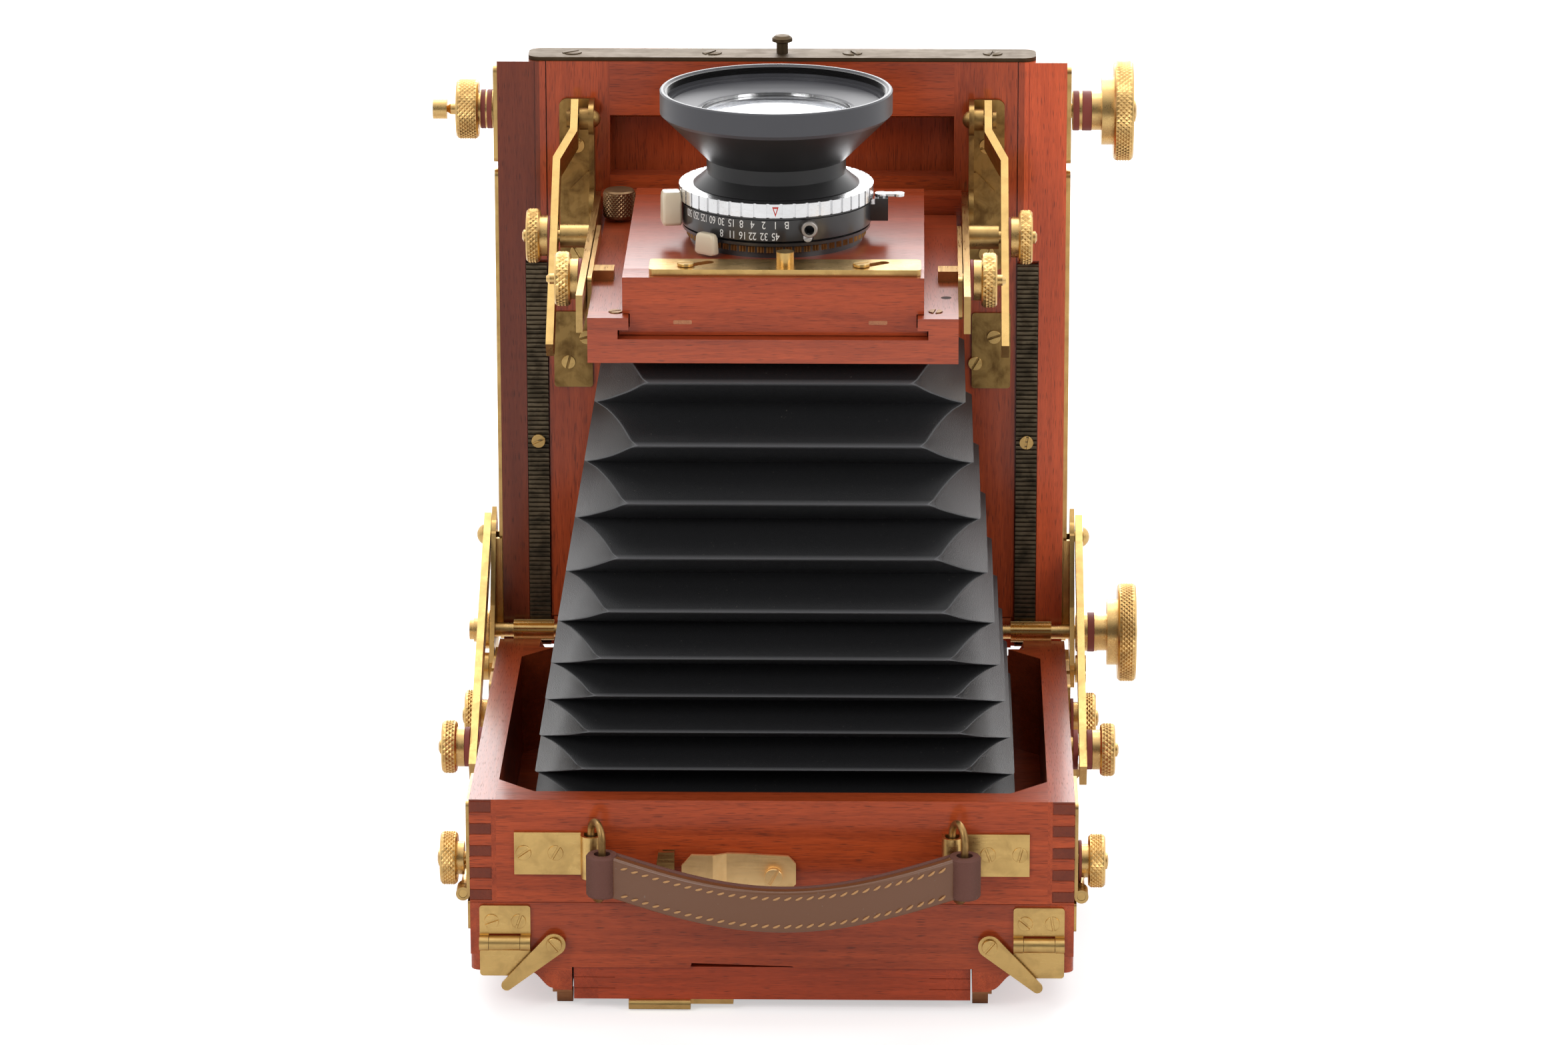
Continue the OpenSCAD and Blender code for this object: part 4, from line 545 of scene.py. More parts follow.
# %% Dress the CAD parts
LOOKS = {
    "back_clips": bronze, "rear_fittings": brass, "clasp_leaf_left": brass, "clasp_leaf_right": brass,
    "turn_lever_left": brass, "turn_lever_right": brass, "ground_glass": ground, "pull_tab": brass,
    "case_fittings": brass, "side_plates_right": brass_long, "side_plates_left": brass_long,
    "handle_rings": aged, "latch": latch_brass_lit, "carriage_plates": brass_up, "brace_left": brass_up,
    "brace_right": brass_up, "bed_fittings": brass_up, "rear_racks": toothed, "front_racks": toothed,
    "end_strip": strip_brass_shaded, "bed_brackets": brass_dull, "arms": brass_long, "strut_left": brass_up,
    "strut_right": brass_up, "frame_plates": brass_long, "board_lock": brass, "shutter_body": enamel,
    "speed_ring": chrome, "release_lever": chrome, "lens_cells": lens_black, "lens_glass": coated,
    "rear_pinion": turned, "front_pinion": turned, "lock_knob": turned, "rise_knob": browned,
    **{f"{k}_{s}": turned for k in ("swing_knob", "far_knob", "brace_knob", "upper_knob", "lower_knob")
       for s in ("left", "right")},
    **WOODS,
}
for name, look in LOOKS.items():
    nodes[name].data.materials.clear()
    nodes[name].data.materials.append(look)
print("materials:", len(bpy.data.materials), "CAD parts dressed:", len(LOOKS))

# %% [markdown]
# ## The bellows
#
# The bellows are one pleated tube that keeps the light out between the back and the lens. Rings
# extruded and scaled by hand, or a cloth simulation, could fold it too, but a formula keeps each
# ridge at its height and gives every corner the same pointed, hollow lobe.
#
# On the near and far faces each fold has its ridge where the side faces have their valley, and
# the other way round. With t from 0 at a near ridge to 1 at the next crease, the near face
# draws in by the fold's depth times t to the power 1.15, while the side grows by a mix of t to
# the power 1.8 and an S-curve that is steep at both ends. The wall is a closed skin, a little
# under 1 mm thick. Its own attribute `fold` holds t, by which the cloth is painted paler on the
# ridges, partly wear and partly painted highlight.

# %% Heights and rings of the folds
RIDGES = [39.5, 49.4, 60.0, 70.8, 81.9, 92.9, 104.0, 118.1, 134.2, 150.5, 167.7, 186.4]
FOLD, STEPS, WALL, CORNER_R = 14.2, 7, 0.9, 1.6
creases = [(a + b) / 2 for a, b in zip(RIDGES, RIDGES[1:])]
levels = [(34.6, 1.0)] + sorted([(z, 0.0) for z in RIDGES] + [(z, 1.0) for z in creases]) + [(193.2, 0.75)]


def fold_rows(z0, z1):
    """Heights and t values of the rows between two heights: straight steps from level to level."""
    zs, ts = [], []
    for (za, ta), (zb, tb) in zip(levels, levels[1:]):
        if za >= z0 - 0.3 and zb <= z1 + 0.3:
            k = np.arange(STEPS) / STEPS
            zs += list(za + (zb - za) * k)
            ts += list(ta + (tb - ta) * k)
            last = (zb, tb)
    return np.array(zs + [last[0]]), np.array(ts + [last[1]])


def fold_ring(z, t, inset):
    """Points round the bellows at heights z.

    Half width = a - FOLD + out_x and near face = near + out_y, each less the wall's inset; the four
    corners are quarter circles, and the long faces sag by a cosine across times a sine of t."""
    a = np.interp(z, [34, 69, 193], [73.5, 72, 53])
    near = np.interp(z, [34, 45, 193], [-71, -70, -51]) - 0.25 * np.sin(z * 0.9)
    far = np.interp(z, [34, 193], [66, 49])
    middle = np.interp(z, [34, 110, 193], [0.0, 0.6, 2.0])
    out_y = FOLD * t ** 1.15
    cusp = 0.5 - np.sin(np.arcsin(1 - 2 * np.clip(t, 0, 1)) / 3)
    out_x = FOLD * (0.45 * t ** 1.8 + 0.55 * cusp)
    x = a - FOLD + out_x - inset
    y0, y1 = near + out_y + inset, far - out_y - inset
    r = CORNER_R
    corner = np.linspace(0, np.pi / 2, 4)
    xs, ys = [], []
    for sx, sy, start in ((1, 1, 0), (-1, 1, 1), (-1, -1, 2), (1, -1, 3)):
        ang = corner + start * np.pi / 2
        side = y1 if sy > 0 else y0
        xs.append((middle + sx * (x - r))[:, None] + r * np.cos(ang))
        ys.append((side - sy * r)[:, None] + r * np.sin(ang))
    px, py = np.concatenate(xs, 1), np.concatenate(ys, 1)
    # extra points along the long faces, so that they can sag a little between the corners
    nx, ny = np.roll(px, -1, 1), np.roll(py, -1, 1)
    quarters = np.array([0, 0.25, 0.5, 0.75])
    px = (px[..., None] + (nx - px)[..., None] * quarters).reshape(len(z), -1)
    py = (py[..., None] + (ny - py)[..., None] * quarters).reshape(len(z), -1)
    sag = 0.5 * np.cos(np.clip(px / 70, -1, 1) * np.pi / 2) * np.sin(t * np.pi)[:, None]
    py = py - np.sign(py) * sag
    return np.stack([px, py, np.broadcast_to(z[:, None], px.shape)], -1)


print("ridges:", len(RIDGES), "levels:", len(levels))

# %% [markdown]
# The tube is made as six tubes that follow one another, each from one height to the next. The
# table also names the bodies below and above each tube, but nothing reads those names: the
# tubes are attached to no body and stay where they are made.

# %% Six tubes
SECTIONS = [
    (34.6, 44.45, "rear", "case_body"), (44.45, 54.7, "case_body", "carriage"),
    (54.7, 111.05, "carriage", "bed_body"), (111.05, 142.35, "bed_body", "slide"),
    (142.35, 177.05, "slide", "front"), (177.05, 193.2, "front", "lens_frame_body")]
around = np.arange(16) / 4  # one corner's four points, with three more after each
# 1 at the middle of each corner, where the cloth is painted paler: partly wear, partly painted highlight
CORNER_LINE = np.tile(np.clip(1 - np.abs(around - 1.5) / 1.5, 0, 1), 4)


def give_values(obj, name, values):
    """An attribute of one number per point, which the material reads."""
    layer = obj.data.attributes.new(name, "FLOAT", "POINT")
    layer.data.foreach_set("value", values.astype(np.float32))


for i, (z0, z1, lower, upper) in enumerate(SECTIONS):
    z, t = fold_rows(z0, z1)
    tube = np.concatenate([fold_ring(z, t, 0.0), fold_ring(z, t, WALL)[::-1]])
    obj = piece(f"bellows_{i + 1}", loft(tube, loop=True), None, bellows_cloth, 28)
    give_values(obj, "fold", np.repeat(np.concatenate([t, t[::-1]]), tube.shape[1]))
    give_values(obj, "corner", np.tile(CORNER_LINE, tube.shape[0]))
    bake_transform(obj)
    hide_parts("bellows")
print("bellows:", len(SECTIONS), "sections,", len(RIDGES), "ridges")

# %% [markdown]
# ## Knurled rims
#
# The knobs' rims are pressed with crossed diamonds that give the fingers a hold. A bump would
# leave the rim's outline smooth, so the diamonds are real. A lattice with one point per half
# pitch stands up where the sum of its row and column is odd, and each square is cut along its
# low corners, which makes the crossed diamonds. Each sleeve closes on itself inside the disc.

# %% Rims
def knurl(origin, way, h0, h1, r, pitch=1.55, deep=0.28):
    """A knurled sleeve between two heights over a disc of some radius.

    Radius = disc's radius plus the depth where row + column is odd, on a grid of half pitches."""
    cols = 2 * round(2 * np.pi * r / pitch)
    rows = 2 * max(1, round((h1 - h0) / pitch)) + 1
    j, i = np.meshgrid(np.arange(rows), np.arange(cols), indexing="ij")
    rad = r + 0.02 + deep * ((i + j) % 2)
    rad[[0, -1]] = r + 0.02
    h = np.linspace(h0, h1, rows)[:, None] + np.zeros_like(rad)
    rad = np.concatenate([rad, np.full((2, cols), r - 0.4)])
    h = np.concatenate([h, np.full((1, cols), h1 - 0.1), np.full((1, cols), h0 + 0.1)])
    a = np.arange(cols) * 2 * np.pi / cols
    points, quads = loft(np.stack([rad * np.cos(a), rad * np.sin(a), h], -1), origin, way, loop=True)
    q = np.array(quads).reshape(rows + 2, cols, 4)
    odd = (np.add.outer(np.arange(rows + 2), np.arange(cols)) % 2).astype(bool)[..., None]
    halves = np.concatenate([np.where(odd, q[..., [0, 1, 3]], q[..., [0, 1, 2]]),
                             np.where(odd, q[..., [1, 2, 3]], q[..., [0, 2, 3]])])
    return points, halves.reshape(-1, 3).tolist()


SIDES = (("right", "r", "x"), ("left", "l", "-x"))
REAR_SHAFT, FRONT_SHAFT = (0, 85.3, 67.5), (0, 100.615, 234.6)
LIP = 0.45  # smooth edge left at each end of a disc
DISCS = [  # name, body, y, z, disc start, disc end, diameter
    ("swing_rim", "swing_knob_", -69, 43.5, 94.4, 99.4, 15.5),
    ("far_rim", "far_knob_", 50, 50, 94.4, 99.4, 15.5),
    ("brace_rim", "brace_knob_", 18, 50, 100, 104.6, 16),
    ("upper_rim", "upper_knob_", 47, 206.8, 73.9, 78.1, 16.3),
    ("lower_rim", "lower_knob_", -7, 206.8, 61.9, 66.6, 16)]
rims = [(f"{name}_{side}", knurl((0, y, z), way, h0 + LIP, h1 - LIP, d / 2), body + letter, knurled)
        for name, body, y, z, h0, h1, d in DISCS for side, letter, way in SIDES]
rims += [
    ("rear_focus_rim", knurl(REAR_SHAFT, "x", 107.5, 112.3, 15.4), "pinion_rear", knurled),
    ("front_focus_rim", knurl(FRONT_SHAFT, "x", 104.7, 109.8, 15.4), "pinion_front", knurled),
    ("lock_rim", knurl(FRONT_SHAFT, "-x", 96.2, 102.2, 9.15), "lock_knob_body", knurled),
    ("rise_rim", knurl((-50.2, 66, 0), "z", 208.6, 216.4, 4.8, 1.3), "rise_knob_body", browned)]
for name, shape, body, look in rims:
    piece(name, shape, body, look, 6)
print("knurled rims:", len(rims))

# %% [markdown]
# ## Fibre washers
#
# Thin red-brown rings sit under the knobs and between the plates, and keep brass off brass. A
# disc with a hole cut by a Boolean would do, but a profile turned round the axis gives the ring
# and its blunted edges at once. The left side plate turns into the room of two of them, so that
# side has none there.

# %% Washers
def washer(origin, way, h0, h1, r_out, r_in):
    """A flat ring between two heights, its outer edges cut by e."""
    e = min(0.12, (h1 - h0) / 4)
    outside = [(r_out - e, h0), (r_out, h0 + e), (r_out, h1 - e), (r_out - e, h1)]
    return lathe(outside + [(r_in, h1), (r_in, h0)], origin, way, 40, loop=True)


RINGS = [  # name, body right, body left, y, z, from, to, outer radius, inner radius
    ("swing_washer", "swing_knob_r", None, -69, 43.5, 91.5, 92.38, 6.2, 2.35),
    ("far_washer", "far_knob_r", None, 50, 50, 91.5, 92.38, 6.2, 2.35),
    ("post_washer", "case_body", "case_body", 18, 50, 91.6, 93.1, 6.2, 4.02),
    ("brace_washer", "brace_knob_r", "brace_knob_l", 18, 50, 95.85, 97.55, 6.2, 2.35),
    ("upper_washer", "front", "front", 47, 206.8, 70.75, 71.45, 6.2, 2.35),
    ("lower_washer", "lens_frame_body", "lens_frame_body", -7, 206.8, 58.45, 59.55, 6.2, 2.35)]
for name, right_body, left_body, y, z, h0, h1, r1, r0 in RINGS:
    for side, way, body in (("right", "x", right_body), ("left", "-x", left_body)):
        if body:
            piece(f"{name}_{side}", washer((0, y, z), way, h0, h1, r1, r0), body, fibre_red)
STACKS = [  # name, body, shaft, way, outer radius, list of (from, to)
    ("rear_stack", "pinion_rear", REAR_SHAFT, "x", 6.3, [(93.9, 96.2), (97.4, 99.6)]),
    ("front_stack", "pinion_front", FRONT_SHAFT, "x", 6.3, [(91.4, 93.4), (94.3, 97.3)]),
    ("lock_stack", "lock_knob_body", FRONT_SHAFT, "-x", 6.2, [(91.4, 93.0), (93.5, 95.0)])]
for name, body, shaft, way, r, spans in STACKS:
    rings = [washer(shaft, way, a, b, r, r - 0.4) for a, b in spans]
    piece(name, stack(*rings), body, fibre_red)
print("washers:", len([n for n in made if "washer" in n or "stack" in n]))

# %% [markdown]
# ## Slotted screws
#
# Slotted screws hold the fittings. A Boolean could cut each slot, but on so small a head it can
# leave stray edges, so a head is a low disc with two half caps on it, and the slot is what they
# leave between them.

# %% Screws
def screw(x, y, z, way, r=2.3, turn=30.0, tall=0.35, sink=0.5):
    """A screw head whose slot is turned by some degrees.

    Each half cap is the arc from arcsin(gap / r) to half a turn less that, closed by its chord."""
    gap = 0.14 * r
    a0 = np.arcsin(gap / r)
    a = np.linspace(a0, np.pi - a0, 17)
    cap = np.c_[np.cos(a), np.sin(a)] * r
    floor_h = tall - 0.45
    base = lathe([(r, -sink), (r, floor_h)], (x, y, z), way, 32)
    halves = []
    for s in (0, 180):
        rows = []
        for k, h in ((1.0, floor_h - 0.05), (1.0, tall - 0.12), (0.93, tall)):
            mid = cap.mean(0)
            rows.append(np.c_[mid + (cap - mid) * k, np.full(len(cap), h)])
        halves.append(loft(rows, (x, y, z), way, turn + s))
    return stack(base, *halves)


SCREWS = [  # name, body, material, slot, list of (x, y, z, way, radius, turn)
    ("bracket_screws", "case_body", brass, "brass", [
        (-73.8, -84.0, 50.3, "-y", 2.3, 35), (-64.3, -84.0, 50.3, "-y", 2.3, 60),
        (73.8, -84.0, 50.3, "-y", 2.3, 75), (64.3, -84.0, 50.3, "-y", 2.3, 110)]),
    ("clasp_screws", "rear", brass, "brass", [
        (-83.6, -84.0, 28.7, "-y", 2.2, 20), (-75.5, -84.0, 28.7, "-y", 2.2, 70),
        (83.6, -84.0, 28.7, "-y", 2.2, 100), (75.5, -84.0, 28.7, "-y", 2.2, 140)]),
    ("strip_screws", "slide", strip_brass_shaded, "brass", [
        (x, 96.4, 253.72, "z", 3.1, a) for x, a in ((-66, 40), (-22, 60), (22, 110), (66, 80))]),
    ("bracket_plate_screws", "slide", brass, "brass", [
        (s * 64.4, 87.7, z, "-y", 2.5, a)
        for s, z, a in ((-1, 226, 50), (-1, 191.2, 120), (1, 226, 20), (1, 191.2, 70))]),
    ("lower_plate_screws", "slide", brass, "brass", [
        (67, 88.35, 164, "-y", 2.2, 20), (61.1, 88.35, 155.3, "-y", 2.2, 60),
        (-67.7, 88.35, 155.3, "-y", 2.2, 75), (-62, 88.35, 163.5, "-y", 2.2, 15)]),
    ("rack_screws", "bed_body", brass, "brass", [
        (s * 77.5, 87.7, 129.5, "-y", 2.2, a) for s, a in ((-1, 25), (1, 80))]),
    ("board_lock_screws", "lens", brass, "brass", [
        (-26, -43.5, 220.85, "z", 2.5, 15), (26, -43.5, 220.85, "z", 2.5, 20)]),
    ("corner_screws", "lens_frame_body", browned, "brass", [
        (-46.7, -47.4, 207.0, "z", 2.1, 30), (48, -46.1, 207.0, "z", 2.1, 80)]),
]
for name, body, look, slot, rows in SCREWS:
    shapes = [screw(x, y, z, way, r, turn) for x, y, z, way, r, turn in rows]
    piece(name, stack(*shapes), body, look)
for side, s in (("left", -1), ("right", 1)):
    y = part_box(f"turn_lever_{side}")[0].y / MM
    head = screw(s * 64.9, y, 22.0, "-y", 2.3, 50 * s)
    piece(f"lever_screw_{side}", head, f"lever_{side[0]}", brass)
latch_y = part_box("latch")[0].y / MM
piece("latch_screw", screw(0.6, latch_y, 44.0, "-y", 2.7, 60), "latch_body", latch_brass_lit)
print("screws:", sum(len(s[4]) for s in SCREWS) + 3, "latch face at", round(latch_y, 2))

# %% [markdown]
# ## The lens and shutter
#
# The two lever rings are black with cream tabs. A tab could be a box with rounded edges, but the
# real one swells above its foot and narrows towards its top, so a few outlines of different
# widths are stacked.

# %% Lever rings and tabs
TAB_STEPS = (  # part of the height, part of the width, how far the thickness draws in
    (0, 0.82, 0.3), (0.06, 0.97, 0.1), (0.12, 1, 0), (0.8, 0.9, 0.1), (0.94, 0.8, 0.35), (1, 0.6, 0.75))
RING_R, ARM_START = 28.35, 27.6
AXIS = (0, 0, 0)


def out_at(shape, radius, angle):
    """A shape moved out along x by a radius, then turned about the lens axis by some degrees."""
    return place(shape[0] + [radius, 0, 0], AXIS, "z", angle), shape[1]


def tab(angle, r0, r1, wide, z0, z1):
    """A rounded thumb tab, narrower towards its top."""
    rows = []
    for k, w, q in TAB_STEPS:
        o = rounded((r1 - r0 - q * 1.2), wide * w, 0.9)
        rows.append(np.c_[o, np.full(len(o), z0 + (z1 - z0) * k)])
    return out_at(loft(rows), (r0 + r1) / 2, angle)


def lever_ring(angle, r_in, z0, z1, reach):
    """A thin ring with an arm out to the tab."""
    ring = lathe([(RING_R, z0), (RING_R, z1), (r_in, z1), (r_in, z0)], AXIS, "z", 96, loop=True)
    arm = slab(rounded(reach - ARM_START, 5, 0.4), z0 + 0.02, z1 - 0.02)
    return stack(ring, out_at(arm, (reach + ARM_START) / 2, angle))


t = piece("aperture_tab", tab(230, 30.2, 33.0, 8, 219.0, 225.4), "aperture", cream)
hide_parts("aperture_lever")
piece("aperture_ring", lever_ring(230, 26.2, 222.25, 223.15, 31), "aperture", enamel)
t = piece("cocking_tab", tab(190, 29.1, 34.9, 7.8, 223.8, 233.8), "cocking", cream)
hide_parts("cocking_lever")
piece("cocking_ring", lever_ring(186, 25.5, 230.42, 230.98, 31), "cocking", enamel)
print("lever tabs made")

# %% [markdown]
# The speeds and stops are painted on the drum, upside down. A texture would blur up close, and
# figures made by hand would take long, so each is a text object in Blender's own font that is
# turned into a thin solid and bent round the drum: angle = place minus width over the drum's
# radius, height = row minus the figure's height.

# %% Speeds and stops on the drum
DRUM = 28.72
FIGURES = [  # height of the row, list of (figure, degrees from the middle)
    (229.0, [("B", 7.4), ("1", 0.6), ("2", -6.4), ("4", -13.2), ("8", -20.1), ("15", -26.5),
             ("30", -33.7), ("60", -40.5), ("125", -47.6), ("250", -55.4), ("500", -63.6)]),
    (225.5, [("45", 0.6), ("32", -6.2), ("22", -13.2), ("16", -19.3), ("11", -26.3), ("8", -33.5)])]
shapes = []
for z, row in FIGURES:
    for text, angle in row:
        font = bpy.data.curves.new("figure", "FONT")
        font.body, font.size, font.extrude = text, 3.3, 0.02
        font.align_x, font.align_y = "CENTER", "CENTER"
        font.space_character = 0.92
        holder = bpy.data.objects.new("figure", font)
        bpy.context.scene.collection.objects.link(holder)
        mesh = holder.evaluated_get(bpy.context.evaluated_depsgraph_get()).to_mesh()
        p = np.zeros(len(mesh.vertices) * 3)
        mesh.vertices.foreach_get("co", p)
        p = p.reshape(-1, 3)
        narrow = 0.66 if len(text) > 2 else 0.8
        a = np.radians(angle) - p[:, 0] * narrow / DRUM
        r = DRUM + 0.03 + p[:, 2]
        bent = np.c_[r * np.sin(a), -r * np.cos(a), z - p[:, 1]]
        shapes.append((bent, [list(f.vertices) for f in mesh.polygons]))
        bpy.data.objects.remove(holder)
piece("drum_figures", stack(*shapes), "lens", paint_white)
print("figures:", len(shapes))

# %% [markdown]
# A red triangle on the chrome ring points at the speed. The flash socket is a small tube with
# a screw under it, and the lens sits in a fine-toothed collar. The front ring has thread
# grooves for a filter, a zigzag profile that is turned round the axis. A bump could draw teeth
# and grooves too, but in the mesh each one catches the light by itself.

# %% Mark, socket, collar and thread
def drum_point(points, angle, z, r):
    """Points of a flat mark laid on the drum's side: width becomes angle, height stays height."""
    a = np.radians(angle) + points[:, 0] / r
    rad = r + points[:, 2]
    return np.c_[rad * np.sin(a), -rad * np.cos(a), z + points[:, 1]]


tri = np.array([[-0.95, 1.5], [0.0, -1.5], [0.95, 1.5]])
inner = tri * 0.55 + [0, 0.18]
ring = loft([np.c_[tri, np.zeros(3)], np.c_[tri, np.full(3, 0.06)], np.c_[inner, np.full(3, 0.06)],
             np.c_[inner, np.zeros(3)]], loop=True)
mark = (drum_point(ring[0], 0.6, 233.1, 29.36), ring[1])
piece("speed_mark", mark, "speed_ring_body", paint_red)

piece("sync_ring", lathe([(2.45, 3.2), (2.45, 5.4), (2.2, 5.75), (1.5, 5.75), (1.5, 3.2)],
                         (10.4, -24.0, 227.7), "-y", 32, loop=True), "lens", steel)
piece("sync_screw", screw(9.9, -27.75, 225.0, "-y", 1.4, 20), "lens", chrome)
TEETH = 180
collar, faces = lathe([(26.62, 220.0), (26.62, 221.75), (26.2, 221.75), (26.2, 220.0)], AXIS, "z",
                      2 * TEETH, loop=True)
collar = collar.reshape(4, 2 * TEETH, 3)
collar[:2, :, :2] *= np.tile([1.0, 1.018], TEETH)[None, :, None]
piece("collar_teeth", (collar.reshape(-1, 3), faces), "lens", aged, 15)

TURNS = 13
grooves = np.c_[33.3 - 0.35 * (np.arange(TURNS) % 2), np.linspace(261.4, 263.6, TURNS)]
thread_rings = np.concatenate([grooves, [[33.6, 263.6], [33.6, 261.4]]])[::-1]
piece("filter_thread", lathe(thread_rings, AXIS, "z", 96, loop=True), "lens", satin_black,
      10)
piece("glass_ring", lathe([(22.9, 256.9), (23.0, 257.7), (22.5, 257.8), (22.4, 256.9)], AXIS, "z", 96,
                          loop=True), "lens", chrome)
print("collar teeth:", TEETH)

# %% [markdown]
# The front glass is a dome whose height falls with the square of the radius, as on a weak
# sphere. A flat disc would mirror one even tone, and the dome mirrors a bright patch. It is one
# clear solid, so the light bends in it as in the real glass. The rear glass closes the cell from
# inside the bellows.

# %% Glasses
GLASS_R, GLASS_TOP, GLASS_FALL = 22.3, 259.0, 230
slope = np.linspace(GLASS_R, 0.4, 12)
dome = [(GLASS_R, 252.4)] + [(r, GLASS_TOP - r * r / GLASS_FALL) for r in slope]
glass = piece("front_glass", lathe(dome, AXIS, "z", 96), "lens", coated)
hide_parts("lens_glass")
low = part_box("lens_glass")[0].z / MM
piece("rear_glass", lathe([(14.6, low), (14.95, low + 0.4), (14.95, low + 3.9)], AXIS, "z", 64),
      "lens", coated)
print("glasses made, the rear one from", round(low, 1))

# %% [markdown]
# ## The carrying strap
#
# The strap is brown leather in layers, stitched along both edges. It bows outwards and sags by
# half a sine wave from ring to ring. A curve object with a bevel could follow that path, but its
# section turns with the curve, so each layer's section is carried along on a grid and stays
# upright. Turned sleeves close the strap round the rings.

# %% The strap's path and layers
X0, X1 = -49.94, 57.26  # the two rings
STRAP_Y, STRAP_Z, BOW, SAG = -94.42, 47.2, 16, 5
LOOP, STRAP_ROWS = 4.8, 61


def strap_path(t):
    """The strap's middle for t from 0 to 1: straight across, bowed and sagging by a half sine."""
    s = np.sin(np.pi * t)
    x = X0 + LOOP * 0.6 + (X1 - X0 - LOOP * 1.2) * t
    return np.stack([x, STRAP_Y - BOW * s, STRAP_Z - SAG * s], -1)


def strap_frame(t):
    """Middle, outward direction and length direction along the strap."""
    mid = strap_path(t)
    along = strap_path(t + 1e-3) - strap_path(t - 1e-3)
    along /= np.linalg.norm(along, axis=-1, keepdims=True)
    outward = np.cross(along, [0, 0, 1.0])
    return mid, outward / np.linalg.norm(outward, axis=-1, keepdims=True), along


def closed(rows, m, n):
    """Points and outward faces of m outlines of n points that run the other way, with end caps."""
    caps = [list(range(n)), list(range((m - 1) * n, m * n))[::-1]]
    return rows.reshape(-1, 3), [f[::-1] for f in grid_faces(m, n)] + caps


def band(layer0, layer1, half, puff):
    """A layer of the strap, from one depth to another, closed at its ends.

    Point = middle + outward * depth * swell + up * width, with swell = 1 + puff * sqrt(sin)."""
    t = np.linspace(0, 1, STRAP_ROWS)
    mid, outward, along = strap_frame(t)
    section = rounded(layer1 - layer0, 2 * half, min(0.9, (layer1 - layer0) * 0.42))
    section[:, 0] += (layer0 + layer1) / 2
    swell = 1 + puff * np.sin(np.pi * t) ** 0.5
    rows = mid[:, None] + outward[:, None] * section[None, :, :1] * swell[:, None, None]
    rows = rows + np.array([0, 0, 1.0]) * section[None, :, 1:]
    return closed(rows, STRAP_ROWS, len(section))


strap = piece("strap_band", stack(band(-0.5, 2.75, 6.4, 0.12)), "handle", strap_face)
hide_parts("handle_strap")
lining = stack(band(-2.75, -0.9, 6.3, 0.1), band(-0.95, -0.45, 5.9, 0))
piece("strap_lining", lining, "handle", strap_edge)
wrap = [(LOOP - 0.5, 40.75), (LOOP, 41.4), (LOOP, 53.0), (LOOP - 0.5, 53.65),
        (2.5, 53.65), (2.4, 47), (2.5, 40.75)]
loops = [lathe(wrap, (x, STRAP_Y, 0), "z", 40, loop=True) for x in (X0, X1)]
piece("strap_loops", stack(*loops), "handle", strap_edge)
print("strap bows by", BOW, "and sags by", SAG)

# %% [markdown]
# Waxed thread holds the layers together. Each stitch is a short spindle that leans a little and
# stands up in its middle, so the light catches it. A bump could not throw such a shadow.

# %% Stitches
STITCHES, STITCH_ROW, LEAN, THREAD_R = 30, 4.3, 0.5, 0.36


def stitches():
    """Two rows of slanted spindles: radius = THREAD_R * sqrt(1 - 0.92 s^2), lift = 2.9 + 0.3 (1 - s^2)."""
    t = np.linspace(0.05, 0.95, STITCHES)
    mid, outward, along = strap_frame(t)
    shapes = []
    s = np.linspace(-1, 1, 7)
    fat = THREAD_R * np.sqrt(np.clip(1 - s ** 2 * 0.92, 0, 1))
    lift = 0.30 * (1 - s ** 2) + 2.9
    a = np.arange(6) * np.pi / 3
    for row in (STITCH_ROW, -STITCH_ROW):
        for m, o, al in zip(mid, outward, along):
            run = al * 1.15 + np.array([0, 0, LEAN])
            side = np.cross(run, o)
            side /= np.linalg.norm(side)
            core = m + np.array([0, 0, row]) + s[:, None] * run + lift[:, None] * o
            round_it = np.cos(a)[:, None] * o + np.sin(a)[:, None] * side
            rows = core[:, None] + fat[:, None, None] * round_it[None]
            shapes.append(closed(rows, 7, 6))
    return stack(*shapes)


piece("strap_stitches", stitches(), "handle", thread)
print("stitches:", 2 * STITCHES)

# %% [markdown]
# ## Small wooden details and a painted hole
#
# Two pale plugs fill screw holes in the foot's near face, and the lens frame has one small open
# hole, drawn as a dark disc that paints the shade inside it. Each is a thin piece set 0.02 to
# 0.04 mm proud of the wood, so no cut is needed.

# %% Plugs and hole
plugs = [slab(rounded(5.5, 1.2, 0.3), -0.3, 0.04, (x, -50.02, 204.6), "-y") for x in (-26.8, 31.0)]
piece("foot_plugs", stack(*plugs), "lens", plug_wood)
hole = lathe([(1.6, -0.4), (1.6, 0.02)], (51.2, -29.3, 207.0), "z", 24)
piece("frame_hole", hole, "lens_frame_body", painted_hole_shade)
print("pieces made:", len(made))

# %% [markdown]
# ## Light, floor and background
#
# The floor is white, and a wide soft sky keeps the shadows weak. An image of a studio could
# light the scene as well, but a sky graded by a few numbers can be read and changed. In
# reflections it is dark in front and bright behind, as in a room with one large window, which
# gives the pale reflections on the level varnished faces.

# %% World
scene = bpy.context.scene
world = bpy.data.worlds.new("studio")
scene.world = world
world.use_nodes = True
t = world.node_tree
background = t.nodes["Background"]
rays = add(t, "ShaderNodeLightPath")
seen = math(t, "MAXIMUM", rays.outputs["Is Camera Ray"], rays.outputs["Is Transmission Ray"])
way = add(t, "ShaderNodeSeparateXYZ", None, i0=add(t, "ShaderNodeTexCoord").outputs["Object"])
rear_and_up = math(t, "MULTIPLY_ADD", way.outputs[2], 0.6, way.outputs[1])
behind = ramp(t, rear_and_up, -0.5, 0.3, 0.14, 1.3)
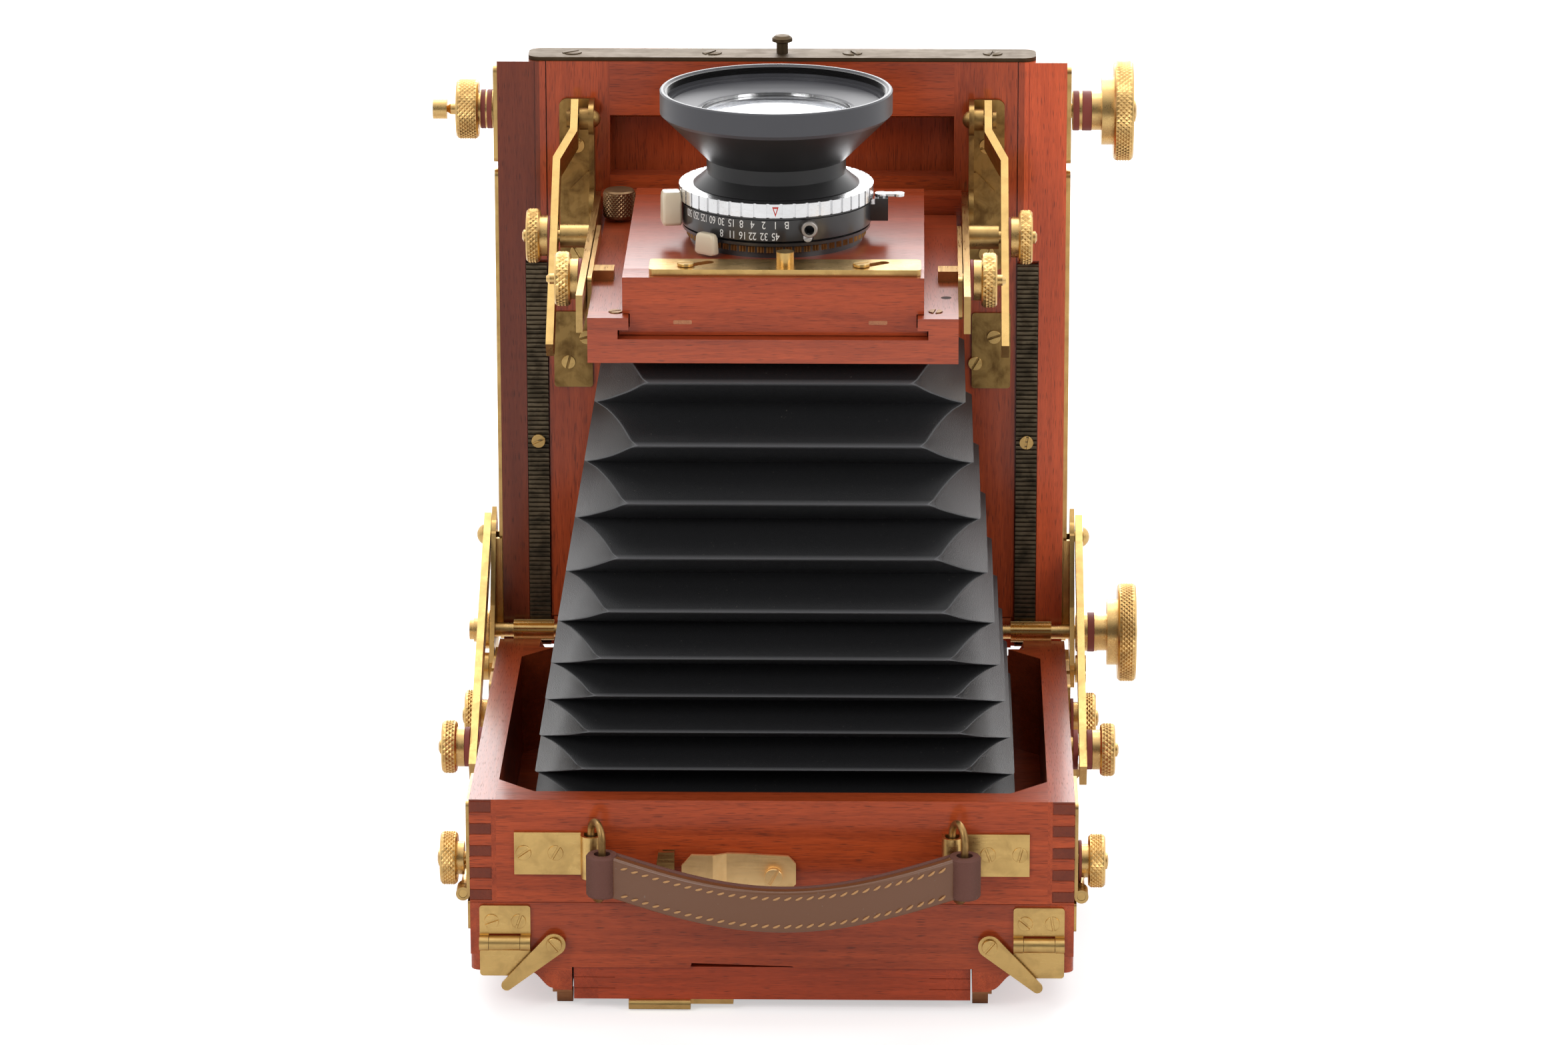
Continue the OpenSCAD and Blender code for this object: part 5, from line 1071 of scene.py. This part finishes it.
# 0.5 of plain light, the graded sky in reflections, and pure white where the camera looks
sky = math(t, "MULTIPLY_ADD", rays.outputs["Is Glossy Ray"], math(t, "SUBTRACT", behind, 0.5), 0.5)
put(t, background.inputs["Color"], (1, 1, 1, 1))
put(t, background.inputs["Strength"], math(t, "MULTIPLY_ADD", seen, math(t, "SUBTRACT", 1.0, sky), sky))

print("world ready")

# %% [markdown]
# Four soft rectangular lamps light the camera: a key from the left, a weaker fill from the
# right, one above, and a lower one behind for the sheen of the varnish.

# %% Lamps
def panel(name, at, target, wide, high, watts, colour=(1, 1, 1)):
    """A rectangular lamp that points at a target, both in metres."""
    lamp = bpy.data.lights.new(name, "AREA")
    lamp.shape, lamp.size, lamp.size_y = "RECTANGLE", wide, high
    lamp.energy, lamp.color = watts, colour
    obj = bpy.data.objects.new(name, lamp)
    scene.collection.objects.link(obj)
    back = np.array(at, float) - np.array(target, float)
    back /= np.linalg.norm(back)
    side = np.cross([0, 0, 1.0] if abs(back[2]) < 0.99 else [0, 1.0, 0], back)
    side /= np.linalg.norm(side)
    top = np.cross(back, side)
    obj.matrix_world = Matrix([[side[i], top[i], back[i], at[i]] for i in range(3)] + [[0, 0, 0, 1]])
    return obj


AIM = (0, 0, 0.12)
panel("key", (-1.5, -1.9, 1.6), AIM, 1.1, 1.1, 20)
panel("fill", (1.9, -1.5, 1.1), AIM, 1.0, 1.0, 12)
panel("top", (0.0, 1.0, 2.3), AIM, 2.4, 1.6, 24)
panel("rear_sheen", (0.0, 2.5, 1.3), AIM, 2.4, 1.6, 48)

print("lamps:", len(bpy.data.lights))

# %% [markdown]
# The floor gives off a little light that only the camera sees, so it stays white round the
# object's shadow and adds no light to the object.

# %% Floor
floor, t, bsdf = material("floor_white")
put(t, bsdf.inputs["Base Color"], (0.86, 0.86, 0.86, 1))
put(t, bsdf.inputs["Roughness"], 0.9)
put(t, bsdf.inputs["Specular IOR Level"], 0.0)
put(t, bsdf.inputs["Emission Color"], (1, 1, 1, 1))
put(t, bsdf.inputs["Emission Strength"],
    math(t, "MULTIPLY", add(t, "ShaderNodeLightPath").outputs["Is Camera Ray"], 0.5))
mesh = bpy.data.meshes.new("floor")
mesh.from_pydata([(-8, -8, 0), (8, -8, 0), (8, 8, 0), (-8, 8, 0)], [], [(0, 1, 2, 3)])
mesh.materials.append(floor)
ground_plane = bpy.data.objects.new("floor", mesh)
scene.collection.objects.link(ground_plane)

scene.view_settings.view_transform = "Standard"
print("floor made, view:", scene.view_settings.view_transform)
